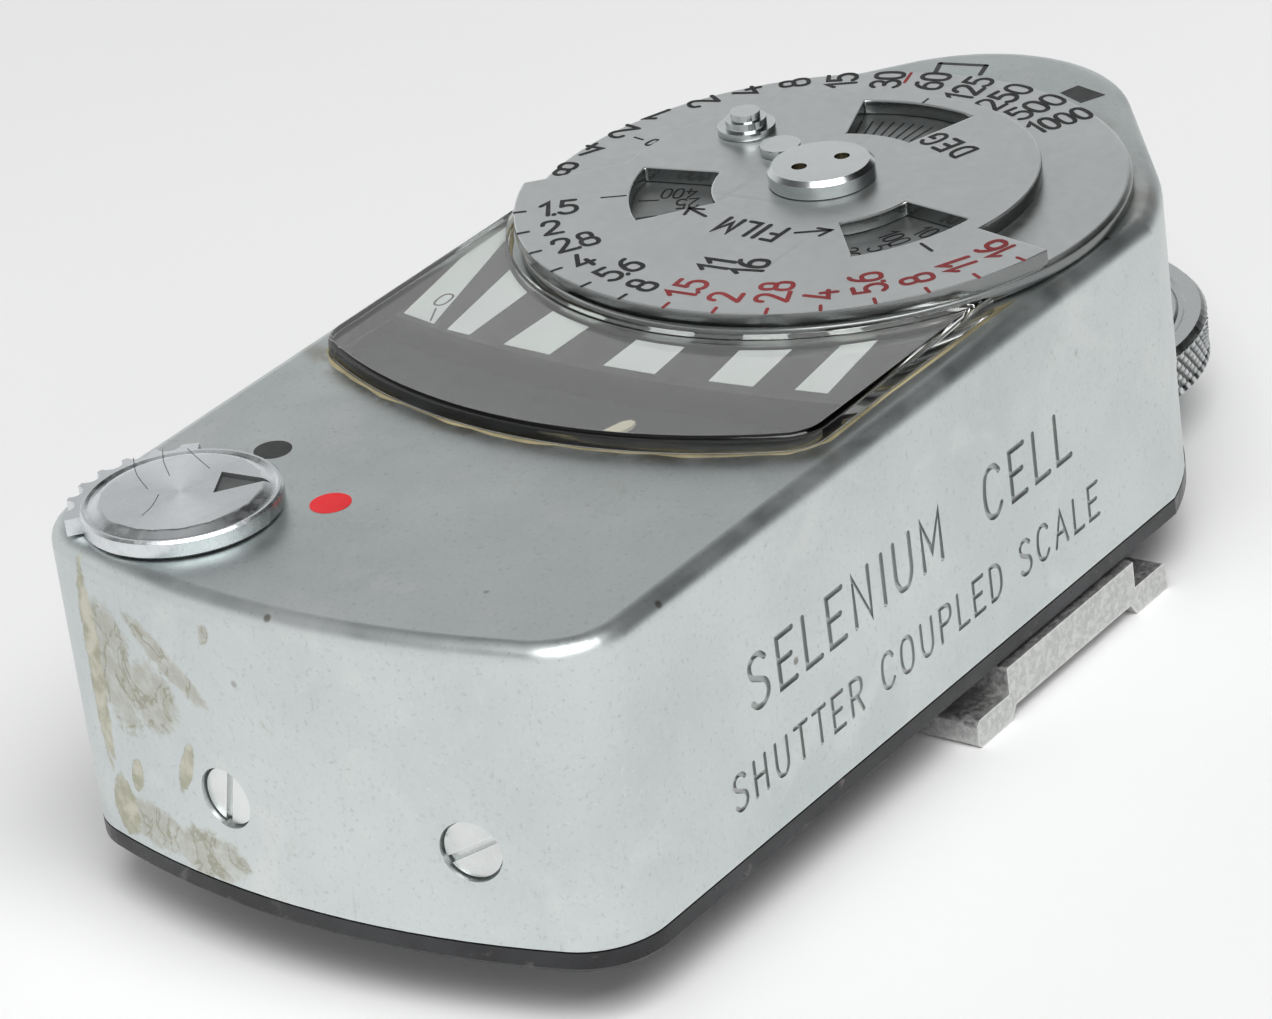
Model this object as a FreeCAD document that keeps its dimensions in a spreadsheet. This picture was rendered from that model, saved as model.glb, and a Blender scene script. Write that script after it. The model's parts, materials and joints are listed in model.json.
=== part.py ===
import FreeCAD, Part
import math
import os
import Sketcher

# Coupled selenium exposure meter that slides into a camera's accessory shoe.
# Row frame: origin under the middle of the shoe foot, on the front-to-back centre line.
# +X runs toward the dial end, +Y toward the light cell, +Z up. Millimetres.

Vector = FreeCAD.Vector
Placement = FreeCAD.Placement
Rotation = FreeCAD.Rotation
UP = Vector(0, 0, 1)

doc = FreeCAD.newDocument("selenium_meter")

DIMENSIONS = [
    ("dial_x", 6.3, "dial axis from the foot centre"),
    ("wheel_x", 22.5, "coupling wheel axis from the foot centre"),
    ("move_x", -31.4, "needle pivot from the foot centre"),
    ("knob_x", -34.9, "range knob axis, X"),
    ("knob_y", 10.0, "range knob axis, Y"),
    ("end_r", 47.9, "near end arc, struck from the dial axis"),
    ("corner_r", 4.2, "upright corner radius at the near end"),
    ("half_w", 16.9, "half the housing's width"),
    ("far_r", 17.6, "housing outline round the dial"),
    ("nose_r", 9.4, "rounded nose at the dial end"),
    ("nose_x", 12.9, "nose centre from the dial axis"),
    ("wall", 1.2, "cover wall"),
    ("top_t", 1.2, "cover top thickness"),
    ("cover_h", 16.1, "cover height"),
    ("cover_round", 1.0, "rounding of the cover's top edge"),
    ("base_t", 1.2, "base plate thickness"),
    ("base_step", 0.9, "raised inner step of the base plate"),
    ("base_chamfer", 0.35, "chamfer under the base plate"),
    ("foot_w", 18.6, "accessory shoe foot width"),
    ("foot_len", 18.0, "accessory shoe foot length"),
    ("flange_t", 1.6, "foot flange thickness"),
    ("neck_half", 6.2, "half the foot's neck"),
    ("foot_h", 3.1, "foot height"),
    ("foot_relief", 0.75, "shallow recess under the foot"),
    ("window_half", 15.1, "half the meter window's width"),
    ("window_r", 28.2, "meter window's front arc, from the dial axis"),
    ("window_in", 16.8, "meter window's inner arc, from the dial axis"),
    ("window_h", 2.1, "meter window's full height"),
    ("window_skin", 0.9, "meter window's skin"),
    ("disc_r", 16.2, "shutter-speed disc radius"),
    ("disc_t", 0.75, "shutter-speed disc thickness"),
    ("lobe_r", 16.35, "large lobe of the aperture disc"),
    ("small_r", 11.5, "small lobe of the aperture disc"),
    ("upper_t", 0.8, "aperture disc thickness"),
    ("nut_r", 2.85, "centre nut radius"),
    ("nut_t", 0.95, "centre nut thickness"),
    ("spanner_r", 0.42, "spanner hole radius"),
    ("spanner_off", 1.2, "spanner hole from the axis"),
    ("spindle_r", 1.8, "dial spindle radius"),
    ("gear_t", 1.0, "gear thickness"),
    ("module", 0.3, "gear module"),
    ("wheel_r", 10.8, "knurled coupling wheel radius"),
    ("wheel_t", 2.9, "knurled coupling wheel thickness"),
    ("shaft_r", 1.5, "coupling wheel shaft radius"),
    ("pin_r", 0.8, "coupling pin radius"),
    ("collar_r", 1.0, "coupling pin radius inside the wheel"),
    ("pin_orbit", 6.2, "coupling pin from the wheel axis"),
    ("knob_r", 5.0, "range knob radius"),
    ("tooth_r", 5.75, "range knob radius over the teeth"),
    ("knob_t", 1.15, "range knob thickness"),
    ("range_r", 1.2, "range shaft radius"),
    ("run_gap", 0.03, "radial running clearance"),
    ("cell_w", 33.0, "light cell aperture width"),
    ("cell_h", 10.0, "light cell aperture height"),
    ("screw_head", 1.5, "end screw head radius"),
    ("staff_r", 0.25, "needle staff radius"),
    ("core_r", 4.0, "core magnet radius"),
    ("yoke_in", 5.7, "yoke ring inner radius"),
    ("yoke_out", 7.1, "yoke ring outer radius"),
    ("post_y", 8.0, "movement posts from the pivot"),
]

sheet = doc.addObject("Spreadsheet::Sheet", "dims")
sheet.Label = "dims"
for row, (alias, value, note) in enumerate(DIMENSIONS, start=1):
    sheet.set("A%d" % row, note)
    sheet.set("B%d" % row, str(value))
    sheet.setAlias("B%d" % row, alias)
doc.recompute()
D = {alias: value for alias, value, note in DIMENSIONS}

# Heights of the stack, measured up from the underside of the foot.
BASE_Z = D["foot_h"]
BASE_TOP = BASE_Z + D["base_t"]
STEP_TOP = BASE_TOP + D["base_step"]
COVER_Z = BASE_TOP + 0.1
COVER_TOP = COVER_Z + D["cover_h"]
CEILING = COVER_TOP - D["top_t"]
DISC_Z = COVER_TOP + 0.2
UPPER_Z = DISC_Z + D["disc_t"] + 0.05
UPPER_TOP = UPPER_Z + D["upper_t"]
NUT_Z = UPPER_TOP + 0.05
BRIDGE_Z = 9.0
BRIDGE_T = 1.2
GEAR_Z = 10.6
WHEEL_Z = 4.0
NOTCH_TOP = BRIDGE_Z + BRIDGE_T
END_SCREW_Z = 9.4
END_SCREW_Y = (4.3, -9.9)
NEEDLE_REST = -15.1

# Finished nodes, in the order they are written.
NODES = []


def number(spec):
    """The value of an alias, a negated alias or a plain number."""
    if isinstance(spec, str):
        if spec.startswith("-"):
            return -D[spec[1:]]
        return D[spec]
    return float(spec)


def formula(spec):
    """The same coordinate as a spreadsheet expression."""
    if spec.startswith("-"):
        return "-dims." + spec[1:]
    return "dims." + spec


def node(obj, label):
    """Names a finished sub-part."""
    obj.Label = label
    NODES.append((label, obj))
    return obj


def at(x, y, z, turn=0.0):
    return Placement(Vector(x, y, z), Rotation(UP, turn))


def new_body(place):
    body = doc.addObject("PartDesign::Body", "Body")
    body.Placement = place
    return body


def sketch_on(body, role, offset=0.0):
    """A sketch on one of the body's own origin planes, moved along its normal."""
    sketch = doc.addObject("Sketcher::SketchObject", "Sketch")
    body.addObject(sketch)
    plane = [f for f in body.Origin.OriginFeatures if f.Role == role][0]
    sketch.AttachmentSupport = [(plane, "")]
    sketch.MapMode = "FlatFace"
    sketch.AttachmentOffset = Placement(Vector(0, 0, offset), Rotation())
    return sketch


def bind_point(sketch, geo, pos, spec, axis):
    """Holds one coordinate of a point, tied to the sheet when it is named there."""
    value = number(spec)
    kind = "DistanceX" if axis == 0 else "DistanceY"
    if abs(value) < 1e-9:
        target = -2 if axis == 0 else -1
        sketch.addConstraint(Sketcher.Constraint("PointOnObject", geo, pos, target))
        return
    index = sketch.addConstraint(Sketcher.Constraint(kind, -1, 1, geo, pos, value))
    if isinstance(spec, str):
        sketch.setExpression("Constraints[%d]" % index, formula(spec))


def polygon(sketch, points):
    """A closed, fully held polygon."""
    spots = [Vector(number(x), number(y), 0) for x, y in points]
    first = sketch.GeometryCount
    count = len(spots)
    for i in range(count):
        sketch.addGeometry(Part.LineSegment(spots[i], spots[(i + 1) % count]))
    for i in range(count):
        nxt = first + (i + 1) % count
        sketch.addConstraint(Sketcher.Constraint("Coincident", first + i, 2, nxt, 1))
    for i, (x, y) in enumerate(points):
        bind_point(sketch, first + i, 1, x, 0)
        bind_point(sketch, first + i, 1, y, 1)


def circle(sketch, x, y, r):
    """A held circle; x, y and r are numbers or aliases."""
    centre = Vector(number(x), number(y), 0)
    index = sketch.addGeometry(Part.Circle(centre, UP, number(r)))
    bind_point(sketch, index, 3, x, 0)
    bind_point(sketch, index, 3, y, 1)
    held = sketch.addConstraint(Sketcher.Constraint("Radius", index, number(r)))
    if isinstance(r, str):
        sketch.setExpression("Constraints[%d]" % held, formula(r))


def outline(sketch, curves):
    """A closed run of lines and arcs. Arcs carry the expression for their radius."""
    start = sketch.GeometryCount
    for shape, rule in curves:
        sketch.addGeometry(shape)
    ends = []
    for i, (shape, rule) in enumerate(curves):
        ends.append((start + i, 1, shape.StartPoint))
        ends.append((start + i, 2, shape.EndPoint))
    for a in range(len(ends)):
        for b in range(a + 1, len(ends)):
            if ends[a][0] != ends[b][0] and ends[a][2].distanceToPoint(ends[b][2]) < 1e-6:
                pair = (ends[a][0], ends[a][1], ends[b][0], ends[b][1])
                sketch.addConstraint(Sketcher.Constraint("Coincident", *pair))
    for i, (shape, rule) in enumerate(curves):
        if rule:
            spec = Sketcher.Constraint("Radius", start + i, shape.Radius)
            sketch.setExpression("Constraints[%d]" % sketch.addConstraint(spec), rule)


def feature(body, kind, sketch, length=None, rule=None, reverse=False):
    """Adds a Pad, Pocket, Revolution or Groove and keeps it as the body's tip."""
    item = body.newObject("PartDesign::" + kind, kind)
    item.Profile = sketch
    if kind in ("Revolution", "Groove"):
        item.ReferenceAxis = (sketch, ["V_Axis"])
        item.Angle = 360.0
    else:
        item.Length = length
        if rule:
            item.setExpression("Length", rule)
        item.Reversed = reverse
    sketch.Visibility = False
    body.Tip = item
    doc.recompute()
    return item


def turned(label, place, points):
    """A part turned about its own Z axis from a held half section."""
    body = new_body(place)
    sketch = sketch_on(body, "XZ_Plane")
    polygon(sketch, points)
    feature(body, "Revolution", sketch)
    return node(body, label) if label else body


def ring(label, place, r_in, r_out, height):
    """A plain ring, or a plain cylinder when r_in is zero."""
    return turned(label, place, [(r_in, 0), (r_out, 0), (r_out, height), (r_in, height)])


def plate(label, place, points, height, holes=()):
    """A flat plate with round holes."""
    body = new_body(place)
    sketch = sketch_on(body, "XY_Plane")
    polygon(sketch, points)
    for x, y, r in holes:
        circle(sketch, x, y, r)
    rule = formula(height) if isinstance(height, str) else None
    feature(body, "Pad", sketch, number(height), rule)
    return node(body, label) if label else body


def box_points(x0, x1, y0, y1):
    return [(x0, y0), (x1, y0), (x1, y1), (x0, y1)]


def solid(kind, place, **sizes):
    """A Part primitive. Sizes given as text are aliases."""
    item = doc.addObject("Part::" + kind, kind)
    for name, size in sizes.items():
        setattr(item, name, number(size))
        if isinstance(size, str):
            item.setExpression(name, formula(size))
    item.Placement = place
    return item


def fuse(parts):
    item = doc.addObject("Part::MultiFuse", "Fuse")
    item.Shapes = parts
    item.Refine = True
    doc.recompute()
    return item


def cut(base, tool):
    item = doc.addObject("Part::Cut", "Cut")
    item.Base = base
    item.Tool = tool
    item.Refine = True
    doc.recompute()
    return item


def group(label, parts):
    """Several separate solids that share one node."""
    item = doc.addObject("Part::Compound", "Compound")
    item.Links = parts
    doc.recompute()
    return node(item, label)


def arc(cx, cy, r, start, end):
    return Part.ArcOfCircle(Part.Circle(Vector(cx, cy, 0), UP, r), start, end)


def line(p, q):
    return Part.LineSegment(Vector(p[0], p[1], 0), Vector(q[0], q[1], 0))


def housing_curves(inset, rule):
    """Plan outline of the housing about the dial axis, moved inward by inset."""
    end_r = D["end_r"] - inset
    corner = D["corner_r"] - inset
    half = D["half_w"] - inset
    far = D["far_r"] - inset
    nose = D["nose_r"] - inset
    beta = math.acos((D["far_r"] - D["nose_r"]) / D["nose_x"])
    gamma = math.asin(half / far)
    cy = half - corner
    cx = -math.sqrt((end_r - corner) ** 2 - cy ** 2)
    alpha = math.atan2(cy, cx)
    nx = D["nose_x"] + nose * math.cos(beta)
    ny = nose * math.sin(beta)
    fx = far * math.cos(beta)
    fy = far * math.sin(beta)
    gx = far * math.cos(gamma)
    turn = 2 * math.pi
    return [
        (arc(D["nose_x"], 0, nose, -beta, beta), "dims.nose_r" + rule),
        (line((nx, ny), (fx, fy)), None),
        (arc(0, 0, far, beta, gamma), "dims.far_r" + rule),
        (line((gx, half), (cx, half)), None),
        (arc(cx, cy, corner, math.pi / 2, alpha), "dims.corner_r" + rule),
        (arc(0, 0, end_r, alpha, turn - alpha), "dims.end_r" + rule),
        (arc(cx, -cy, corner, turn - alpha, 1.5 * math.pi), "dims.corner_r" + rule),
        (line((cx, -half), (gx, -half)), None),
        (arc(0, 0, far, turn - gamma, turn - beta), "dims.far_r" + rule),
        (line((fx, -fy), (nx, -ny)), None),
    ]


def window_curves(inset):
    """Plan outline of the meter window about the dial axis, moved inward by inset."""
    half = D["window_half"] - inset
    outer = D["window_r"] - inset
    inner = D["window_in"] + inset
    corner = 2.2 - inset * 0.6
    cy = half - corner
    cx = -math.sqrt((outer - corner) ** 2 - cy ** 2)
    alpha = math.atan2(cy, cx)
    ix = -math.sqrt(inner ** 2 - half ** 2)
    delta = math.atan2(half, ix)
    turn = 2 * math.pi
    return [
        (line((ix, half), (cx, half)), None),
        (arc(cx, cy, corner, math.pi / 2, alpha), None),
        (arc(0, 0, outer, alpha, turn - alpha), "dims.window_r - (%.3f)" % inset),
        (arc(cx, -cy, corner, turn - alpha, 1.5 * math.pi), None),
        (line((cx, -half), (ix, -half)), None),
        (arc(0, 0, inner, delta, turn - delta), "dims.window_in + (%.3f)" % inset),
    ]


def round_edges(body, pad, height, radius, rule):
    """Rounds every edge of the pad's top face."""
    edges = []
    for i, edge in enumerate(pad.Shape.Edges, start=1):
        if all(abs(v.Z - height) < 1e-4 for v in edge.Vertexes):
            edges.append("Edge%d" % i)
    item = body.newObject("PartDesign::Fillet", "Fillet")
    item.Base = (pad, edges)
    item.Radius = radius
    item.setExpression("Radius", rule)
    body.Tip = item
    doc.recompute()
    return item


def gear_points(teeth, phase):
    """Straight-flanked teeth with a little backlash, on the shared module."""
    pitch = D["module"] * teeth / 2.0
    tip = pitch + D["module"] * 0.9
    root = pitch - D["module"] * 1.15
    step = 2 * math.pi / teeth
    marks = [(root, -0.31), (tip, -0.11), (tip, 0.11), (root, 0.31)]
    points = []
    for i in range(teeth):
        for r, part in marks:
            a = phase + (i + part) * step
            points.append(Vector(r * math.cos(a), r * math.sin(a), 0))
    return points


def toothed(label, place, teeth, phase, bore, hub_r, hub_h):
    """A spur gear with a hub on top."""
    wire = doc.addObject("Part::Polygon", "Teeth")
    wire.Nodes = gear_points(teeth, phase)
    wire.Close = True
    blank = doc.addObject("Part::Extrusion", "Blank")
    blank.Base = wire
    blank.DirMode = "Custom"
    blank.Dir = UP
    blank.LengthFwd = D["gear_t"]
    blank.setExpression("LengthFwd", "dims.gear_t")
    blank.Solid = True
    hub = solid("Cylinder", at(0, 0, 0), Radius=hub_r, Height=hub_h)
    hole = solid("Cylinder", at(0, 0, -1), Radius=bore, Height=hub_h + 2)
    part = cut(fuse([blank, hub]), hole)
    part.Placement = place
    return node(part, label)


def strip_spiral(label, place, r0, r1, turns, width, height):
    """A flat spiral spring, cut as one strip between two smooth curves."""
    steps = int(turns * 24)
    inner = []
    outer = []
    for i in range(steps + 1):
        a = 2 * math.pi * turns * i / steps
        r = r0 + (r1 - r0) * i / steps
        inner.append(Vector(r * math.cos(a), r * math.sin(a), 0))
        outer.append(Vector((r + width) * math.cos(a), (r + width) * math.sin(a), 0))
    edges = []
    for run in (inner, outer):
        curve = Part.BSplineCurve()
        curve.interpolate(run)
        edges.append(curve.toShape())
    edges.append(Part.makeLine(inner[0], outer[0]))
    edges.append(Part.makeLine(inner[-1], outer[-1]))
    face = Part.Face(Part.Wire(Part.__sortEdges__(edges)))
    item = doc.addObject("Part::Feature", "Spiral")
    item.Shape = face.extrude(Vector(0, 0, height))
    item.Placement = place
    return node(item, label)


# Cover: one pressed shell with its openings.
cover = new_body(at(D["dial_x"], 0, COVER_Z))
shell_sketch = sketch_on(cover, "XY_Plane")
outline(shell_sketch, housing_curves(0.0, ""))
shell = feature(cover, "Pad", shell_sketch, D["cover_h"], "dims.cover_h")
round_edges(cover, shell, D["cover_h"], D["cover_round"], "dims.cover_round")
hollow = sketch_on(cover, "XY_Plane")
outline(hollow, housing_curves(D["wall"], " - dims.wall"))
depth_rule = "dims.cover_h - dims.top_t"
feature(cover, "Pocket", hollow, D["cover_h"] - D["top_t"], depth_rule, reverse=True)
window_cut = sketch_on(cover, "XY_Plane", D["cover_h"])
outline(window_cut, window_curves(-0.02))
feature(cover, "Pocket", window_cut, D["top_t"] + 0.5)
axes_cut = sketch_on(cover, "XY_Plane", D["cover_h"])
circle(axes_cut, 0, 0, 3.2)
circle(axes_cut, D["knob_x"] - D["dial_x"], "knob_y", 2.2)
feature(cover, "Pocket", axes_cut, D["top_t"] + 0.5)
CELL_X = -17.4
CELL_Z = 11.65
cell_cut = sketch_on(cover, "XZ_Plane", -(D["half_w"] + 1))
polygon(cell_cut, box_points(CELL_X - D["cell_w"] / 2 - D["dial_x"],
                             CELL_X + D["cell_w"] / 2 - D["dial_x"],
                             CELL_Z - D["cell_h"] / 2 - COVER_Z,
                             CELL_Z + D["cell_h"] / 2 - COVER_Z))
feature(cover, "Pocket", cell_cut, D["wall"] + 1.4, reverse=True)
notch_sketch = sketch_on(cover, "XY_Plane", NOTCH_TOP - COVER_Z)
polygon(notch_sketch, box_points(8.3, 24.0, -17.5, 17.5))
feature(cover, "Pocket", notch_sketch, NOTCH_TOP - COVER_Z + 0.5)


def end_screw_place(y, lift=0.0):
    """Frame of an end screw: local +Z points out of the near end."""
    angle = math.pi - math.asin(y / D["end_r"])
    r = D["end_r"] + lift
    spot = Vector(D["dial_x"] + r * math.cos(angle), r * math.sin(angle), END_SCREW_Z)
    out = Vector(math.cos(angle), math.sin(angle), 0)
    return Placement(spot, Rotation(UP, out))


seats = []
for y in END_SCREW_Y:
    seats.append(solid("Cylinder", end_screw_place(y, -0.8), Radius=1.62, Height=2.0))
    seats.append(solid("Cylinder", end_screw_place(y, -2.0), Radius=0.95, Height=3.0))
node(cut(cover, fuse(seats)), "housing_cover")

# Base plate: same outline, an inner step that locates the cover, and a round
# bay for the camera's own shutter dial.
base = new_body(at(D["dial_x"], 0, BASE_Z))
base_sketch = sketch_on(base, "XY_Plane")
outline(base_sketch, housing_curves(0.0, ""))
base_pad = feature(base, "Pad", base_sketch, D["base_t"], "dims.base_t")
low_edges = []
for i, edge in enumerate(base_pad.Shape.Edges, start=1):
    if all(abs(v.Z) < 1e-4 for v in edge.Vertexes):
        low_edges.append("Edge%d" % i)
bevel = base.newObject("PartDesign::Chamfer", "Chamfer")
bevel.Base = (base_pad, low_edges)
bevel.Size = D["base_chamfer"]
bevel.setExpression("Size", "dims.base_chamfer")
base.Tip = bevel
doc.recompute()
step_sketch = sketch_on(base, "XY_Plane", D["base_t"])
outline(step_sketch, housing_curves(D["wall"] + 0.05, " - dims.wall - 0.05"))
feature(base, "Pad", step_sketch, D["base_step"], "dims.base_step")
bay = sketch_on(base, "XY_Plane", D["base_t"] + D["base_step"])
circle(bay, D["wheel_x"] - D["dial_x"], 0, 11.2)
ZERO_X = 4.5
circle(bay, D["move_x"] - D["dial_x"] + ZERO_X, 0, 1.25 + D["run_gap"])
feature(base, "Pocket", bay, D["base_t"] + D["base_step"] + 0.5)
FOOT_SCREWS = [(x, y) for x in (-3.4, 3.4) for y in (-12.5, -3.5)]
foot_holes = sketch_on(base, "XY_Plane", D["base_t"] + D["base_step"])
for x, y in FOOT_SCREWS:
    circle(foot_holes, x - D["dial_x"], y, 0.8)
feature(base, "Pocket", foot_holes, D["base_t"] + D["base_step"] + 0.5)
PILLARS = [(D["dial_x"] - 14.5, 0.0), (D["dial_x"], 14.0), (D["dial_x"], -14.0)]
node(base, "base_plate")

# Shoe foot: one extruded profile with side grooves for the camera's rails.
foot = new_body(at(0, -D["half_w"] - 0.3, 0))
foot_sketch = sketch_on(foot, "XZ_Plane")
HALF = D["foot_w"] / 2
foot_profile = [
    (-HALF, 0), (HALF, 0), (HALF, "flange_t"), ("neck_half", "flange_t"), ("neck_half", "foot_h"),
    ("-neck_half", "foot_h"), ("-neck_half", "flange_t"), (-HALF, "flange_t"),
]
polygon(foot_sketch, foot_profile)
foot_pad = feature(foot, "Pad", foot_sketch, D["foot_len"], "dims.foot_len", reverse=True)
tips = []
for i, edge in enumerate(foot_pad.Shape.Edges, start=1):
    along = abs(edge.Vertexes[0].Y - edge.Vertexes[-1].Y) > 1
    if along and abs(abs(edge.Vertexes[0].X) - HALF) < 1e-4:
        tips.append("Edge%d" % i)
foot_round = foot.newObject("PartDesign::Fillet", "Fillet")
foot_round.Base = (foot_pad, tips)
foot_round.Radius = 0.4
foot.Tip = foot_round
doc.recompute()
relief = sketch_on(foot, "XZ_Plane")
polygon(relief, [("-neck_half", 0), (-D["neck_half"] + 0.55, "foot_relief"),
                 (D["neck_half"] - 0.55, "foot_relief"), ("neck_half", 0)])
feature(foot, "Pocket", relief, D["foot_len"] - 2.6)
taps = sketch_on(foot, "XY_Plane", D["foot_h"])
for x, y in FOOT_SCREWS:
    circle(taps, x, y + D["half_w"] + 0.3, 0.8)
feature(foot, "Pocket", taps, D["foot_h"] - D["foot_relief"] + 0.5)
node(foot, "shoe_foot")


def screw(place, shaft_r, shaft_l, head_r, head_h, slot_w, slot_d):
    """A slotted cheese-head screw; local +Z points out of the head."""
    body = turned(None, place, [
        (0, -shaft_l), (shaft_r, -shaft_l), (shaft_r, 0),
        (head_r, 0), (head_r, head_h), (0, head_h)])
    slot = sketch_on(body, "XY_Plane", head_h)
    reach = number(head_r) + 0.1
    polygon(slot, box_points(-reach, reach, -slot_w / 2, slot_w / 2))
    feature(body, "Pocket", slot, slot_d)
    return body


foot_bolts = []
for x, y in FOOT_SCREWS:
    foot_bolts.append(screw(at(x, y, STEP_TOP), 0.8, STEP_TOP - 1.0, 1.35, 0.7, 0.35, 0.35))
group("foot_screws", foot_bolts)

end_bolts = []
for y, spin in zip(END_SCREW_Y, (-18.0, -50.0)):
    place = end_screw_place(y, -0.8)
    place = place.multiply(Placement(Vector(0, 0, 0), Rotation(UP, spin)))
    end_bolts.append(screw(place, 0.8, 1.6, "screw_head", 0.5, 0.4, 0.3))
group("end_screws", end_bolts)

# Threaded block on the base plate that the two end screws pull the cover onto.
block = new_body(at(D["dial_x"], 0, STEP_TOP))
block_sketch = sketch_on(block, "XY_Plane")
span = math.radians(14.0)
low = math.pi - math.radians(8.0)
R_OUT = D["end_r"] - D["wall"] - 0.1
R_IN = R_OUT - 1.3
block_curves = [
    (arc(0, 0, R_OUT, low, math.pi + span), None),
    (line((R_OUT * math.cos(math.pi + span), R_OUT * math.sin(math.pi + span)),
          (R_IN * math.cos(math.pi + span), R_IN * math.sin(math.pi + span))), None),
    (arc(0, 0, R_IN, low, math.pi + span), None),
    (line((R_IN * math.cos(low), R_IN * math.sin(low)),
          (R_OUT * math.cos(low), R_OUT * math.sin(low))), None),
]
outline(block_sketch, block_curves)
feature(block, "Pad", block_sketch, 6.6)
taps = [solid("Cylinder", end_screw_place(y, -2.9), Radius=0.8, Height=2.2) for y in END_SCREW_Y]
node(cut(block, fuse(taps)), "end_block")

# Meter window: clear moulding, hollow underneath.
window = new_body(at(D["dial_x"], 0, CEILING))
window_sketch = sketch_on(window, "XY_Plane")
outline(window_sketch, window_curves(0.0))
window_pad = feature(window, "Pad", window_sketch, D["window_h"], "dims.window_h")
FLAT = D["window_h"] - D["window_skin"]
inner_sketch = sketch_on(window, "XY_Plane")
outline(inner_sketch, window_curves(D["window_skin"]))
feature(window, "Pocket", inner_sketch, FLAT, "dims.window_h - dims.window_skin", reverse=True)
node(window, "meter_window")

# Scale plate: a dark floor under the needle and a raised striped step.
scale = new_body(at(D["dial_x"], 0, CEILING - 1.2))
floor_sketch = sketch_on(scale, "XY_Plane")
outline(floor_sketch, window_curves(-0.5))
feature(scale, "Pad", floor_sketch, 0.3)
stripe_sketch = sketch_on(scale, "XY_Plane", 0.3)
STEP_HALF = D["window_half"] - D["window_skin"] - 0.15
STEP_IN = D["window_in"] + D["window_skin"] + 0.15
edge_angle = math.asin(STEP_HALF / 65.0)
edge_cx = 65.0 - 20.7
edge_x = edge_cx - 65.0 * math.cos(edge_angle)
in_x = -math.sqrt(STEP_IN ** 2 - STEP_HALF ** 2)
in_angle = math.atan2(STEP_HALF, in_x)
step_curves = [
    (arc(edge_cx, 0, 65.0, math.pi - edge_angle, math.pi + edge_angle), None),
    (line((edge_x, -STEP_HALF), (in_x, -STEP_HALF)), None),
    (arc(0, 0, STEP_IN, in_angle, 2 * math.pi - in_angle), None),
    (line((in_x, STEP_HALF), (edge_x, STEP_HALF)), None),
]
outline(stripe_sketch, step_curves)
feature(scale, "Pad", stripe_sketch, 1.6)
node(scale, "scale_plate")

# Light cell on the front: ribbed diffuser, retaining frame, cell, contacts.
FRONT = D["half_w"] - D["wall"]
diffuser = new_body(at(CELL_X, FRONT, CELL_Z))
face_sketch = sketch_on(diffuser, "XZ_Plane")
W2 = D["cell_w"] / 2 - 0.03
H2 = D["cell_h"] / 2 - 0.03
polygon(face_sketch, box_points(-W2, W2, -H2, H2))
feature(diffuser, "Pad", face_sketch, D["wall"] + 0.1, "dims.wall + 0.1", reverse=True)
lip_sketch = sketch_on(diffuser, "XZ_Plane")
polygon(lip_sketch, box_points(-W2 - 0.8, W2 + 0.8, -H2 - 0.8, H2 + 0.8))
feature(diffuser, "Pad", lip_sketch, 0.8)
node(diffuser, "cell_window")
cell_frame = new_body(at(CELL_X, FRONT - 0.05, CELL_Z))
rim_sketch = sketch_on(cell_frame, "XZ_Plane")
polygon(rim_sketch, box_points(-W2 - 1.9, W2 + 1.9, -H2 - 1.3, H2 + 1.3))
polygon(rim_sketch, box_points(-W2 - 0.9, W2 + 0.9, -H2 - 0.9, H2 + 0.9))
feature(cell_frame, "Pad", rim_sketch, 2.4)
node(cell_frame, "cell_frame")
cell = new_body(at(CELL_X, FRONT - 0.85, CELL_Z))
cell_sketch = sketch_on(cell, "XZ_Plane")
polygon(cell_sketch, box_points(-W2 - 0.6, W2 + 0.6, -H2 - 0.6, H2 + 0.6))
feature(cell, "Pad", cell_sketch, 0.8)
node(cell, "selenium_cell")
contacts = []
for x in (-9.0, 9.0):
    leaf = new_body(at(CELL_X + x, FRONT - 1.65, CELL_Z))
    leaf_sketch = sketch_on(leaf, "XZ_Plane")
    polygon(leaf_sketch, box_points(-0.9, 0.9, -H2 - 0.4, H2 - 1.0))
    feature(leaf, "Pad", leaf_sketch, 0.2)
    contacts.append(leaf)
group("cell_contacts", contacts)

# Meter movement: posts, bridge, yoke, fixed core, moving coil and needle.
MX = D["move_x"]
PY = D["post_y"]
CARRIER_Z = STEP_TOP
carrier = solid("Cylinder", at(0, 0, 0), Radius=7.0, Height=1.0)
bar = solid("Box", at(-2.0, -PY - 1.3, 0), Length=4.0, Width=2 * PY + 2.6, Height=1.0)
jewel_hole = solid("Cylinder", at(0, 0, -1), Radius=1.0, Height=3.0)
pin_slot = solid("Box", at(3.9, -1.3, -1), Length=2.0, Width=2.6, Height=3.0)
movement_base = cut(fuse([carrier, bar]), fuse([jewel_hole, pin_slot]))
movement_base.Placement = at(MX, 0, CARRIER_Z)
node(movement_base, "movement_base")
POST_H = 11.0
POST_Z = CARRIER_Z + 1.0
posts = [ring(None, at(MX, s * PY, POST_Z), 0, 0.9, POST_H) for s in (-1, 1)]
group("movement_posts", posts)
BRIDGE_TOP = POST_Z + POST_H + 0.8
span_disc = solid("Cylinder", at(0, 0, 0), Radius=5.0, Height=0.8)
span_bar = solid("Box", at(-1.5, -PY - 1.2, 0), Length=3.0, Width=2 * PY + 2.4, Height=0.8)
jewel_seat = solid("Cylinder", at(0, 0, -1), Radius=0.9, Height=3.0)
bridge = cut(fuse([span_disc, span_bar]), jewel_seat)
bridge.Placement = at(MX, 0, POST_Z + POST_H)
node(bridge, "movement_bridge")
ring("upper_jewel", at(MX, 0, POST_Z + POST_H), D["staff_r"] + D["run_gap"], 0.9, 0.8)
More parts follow.
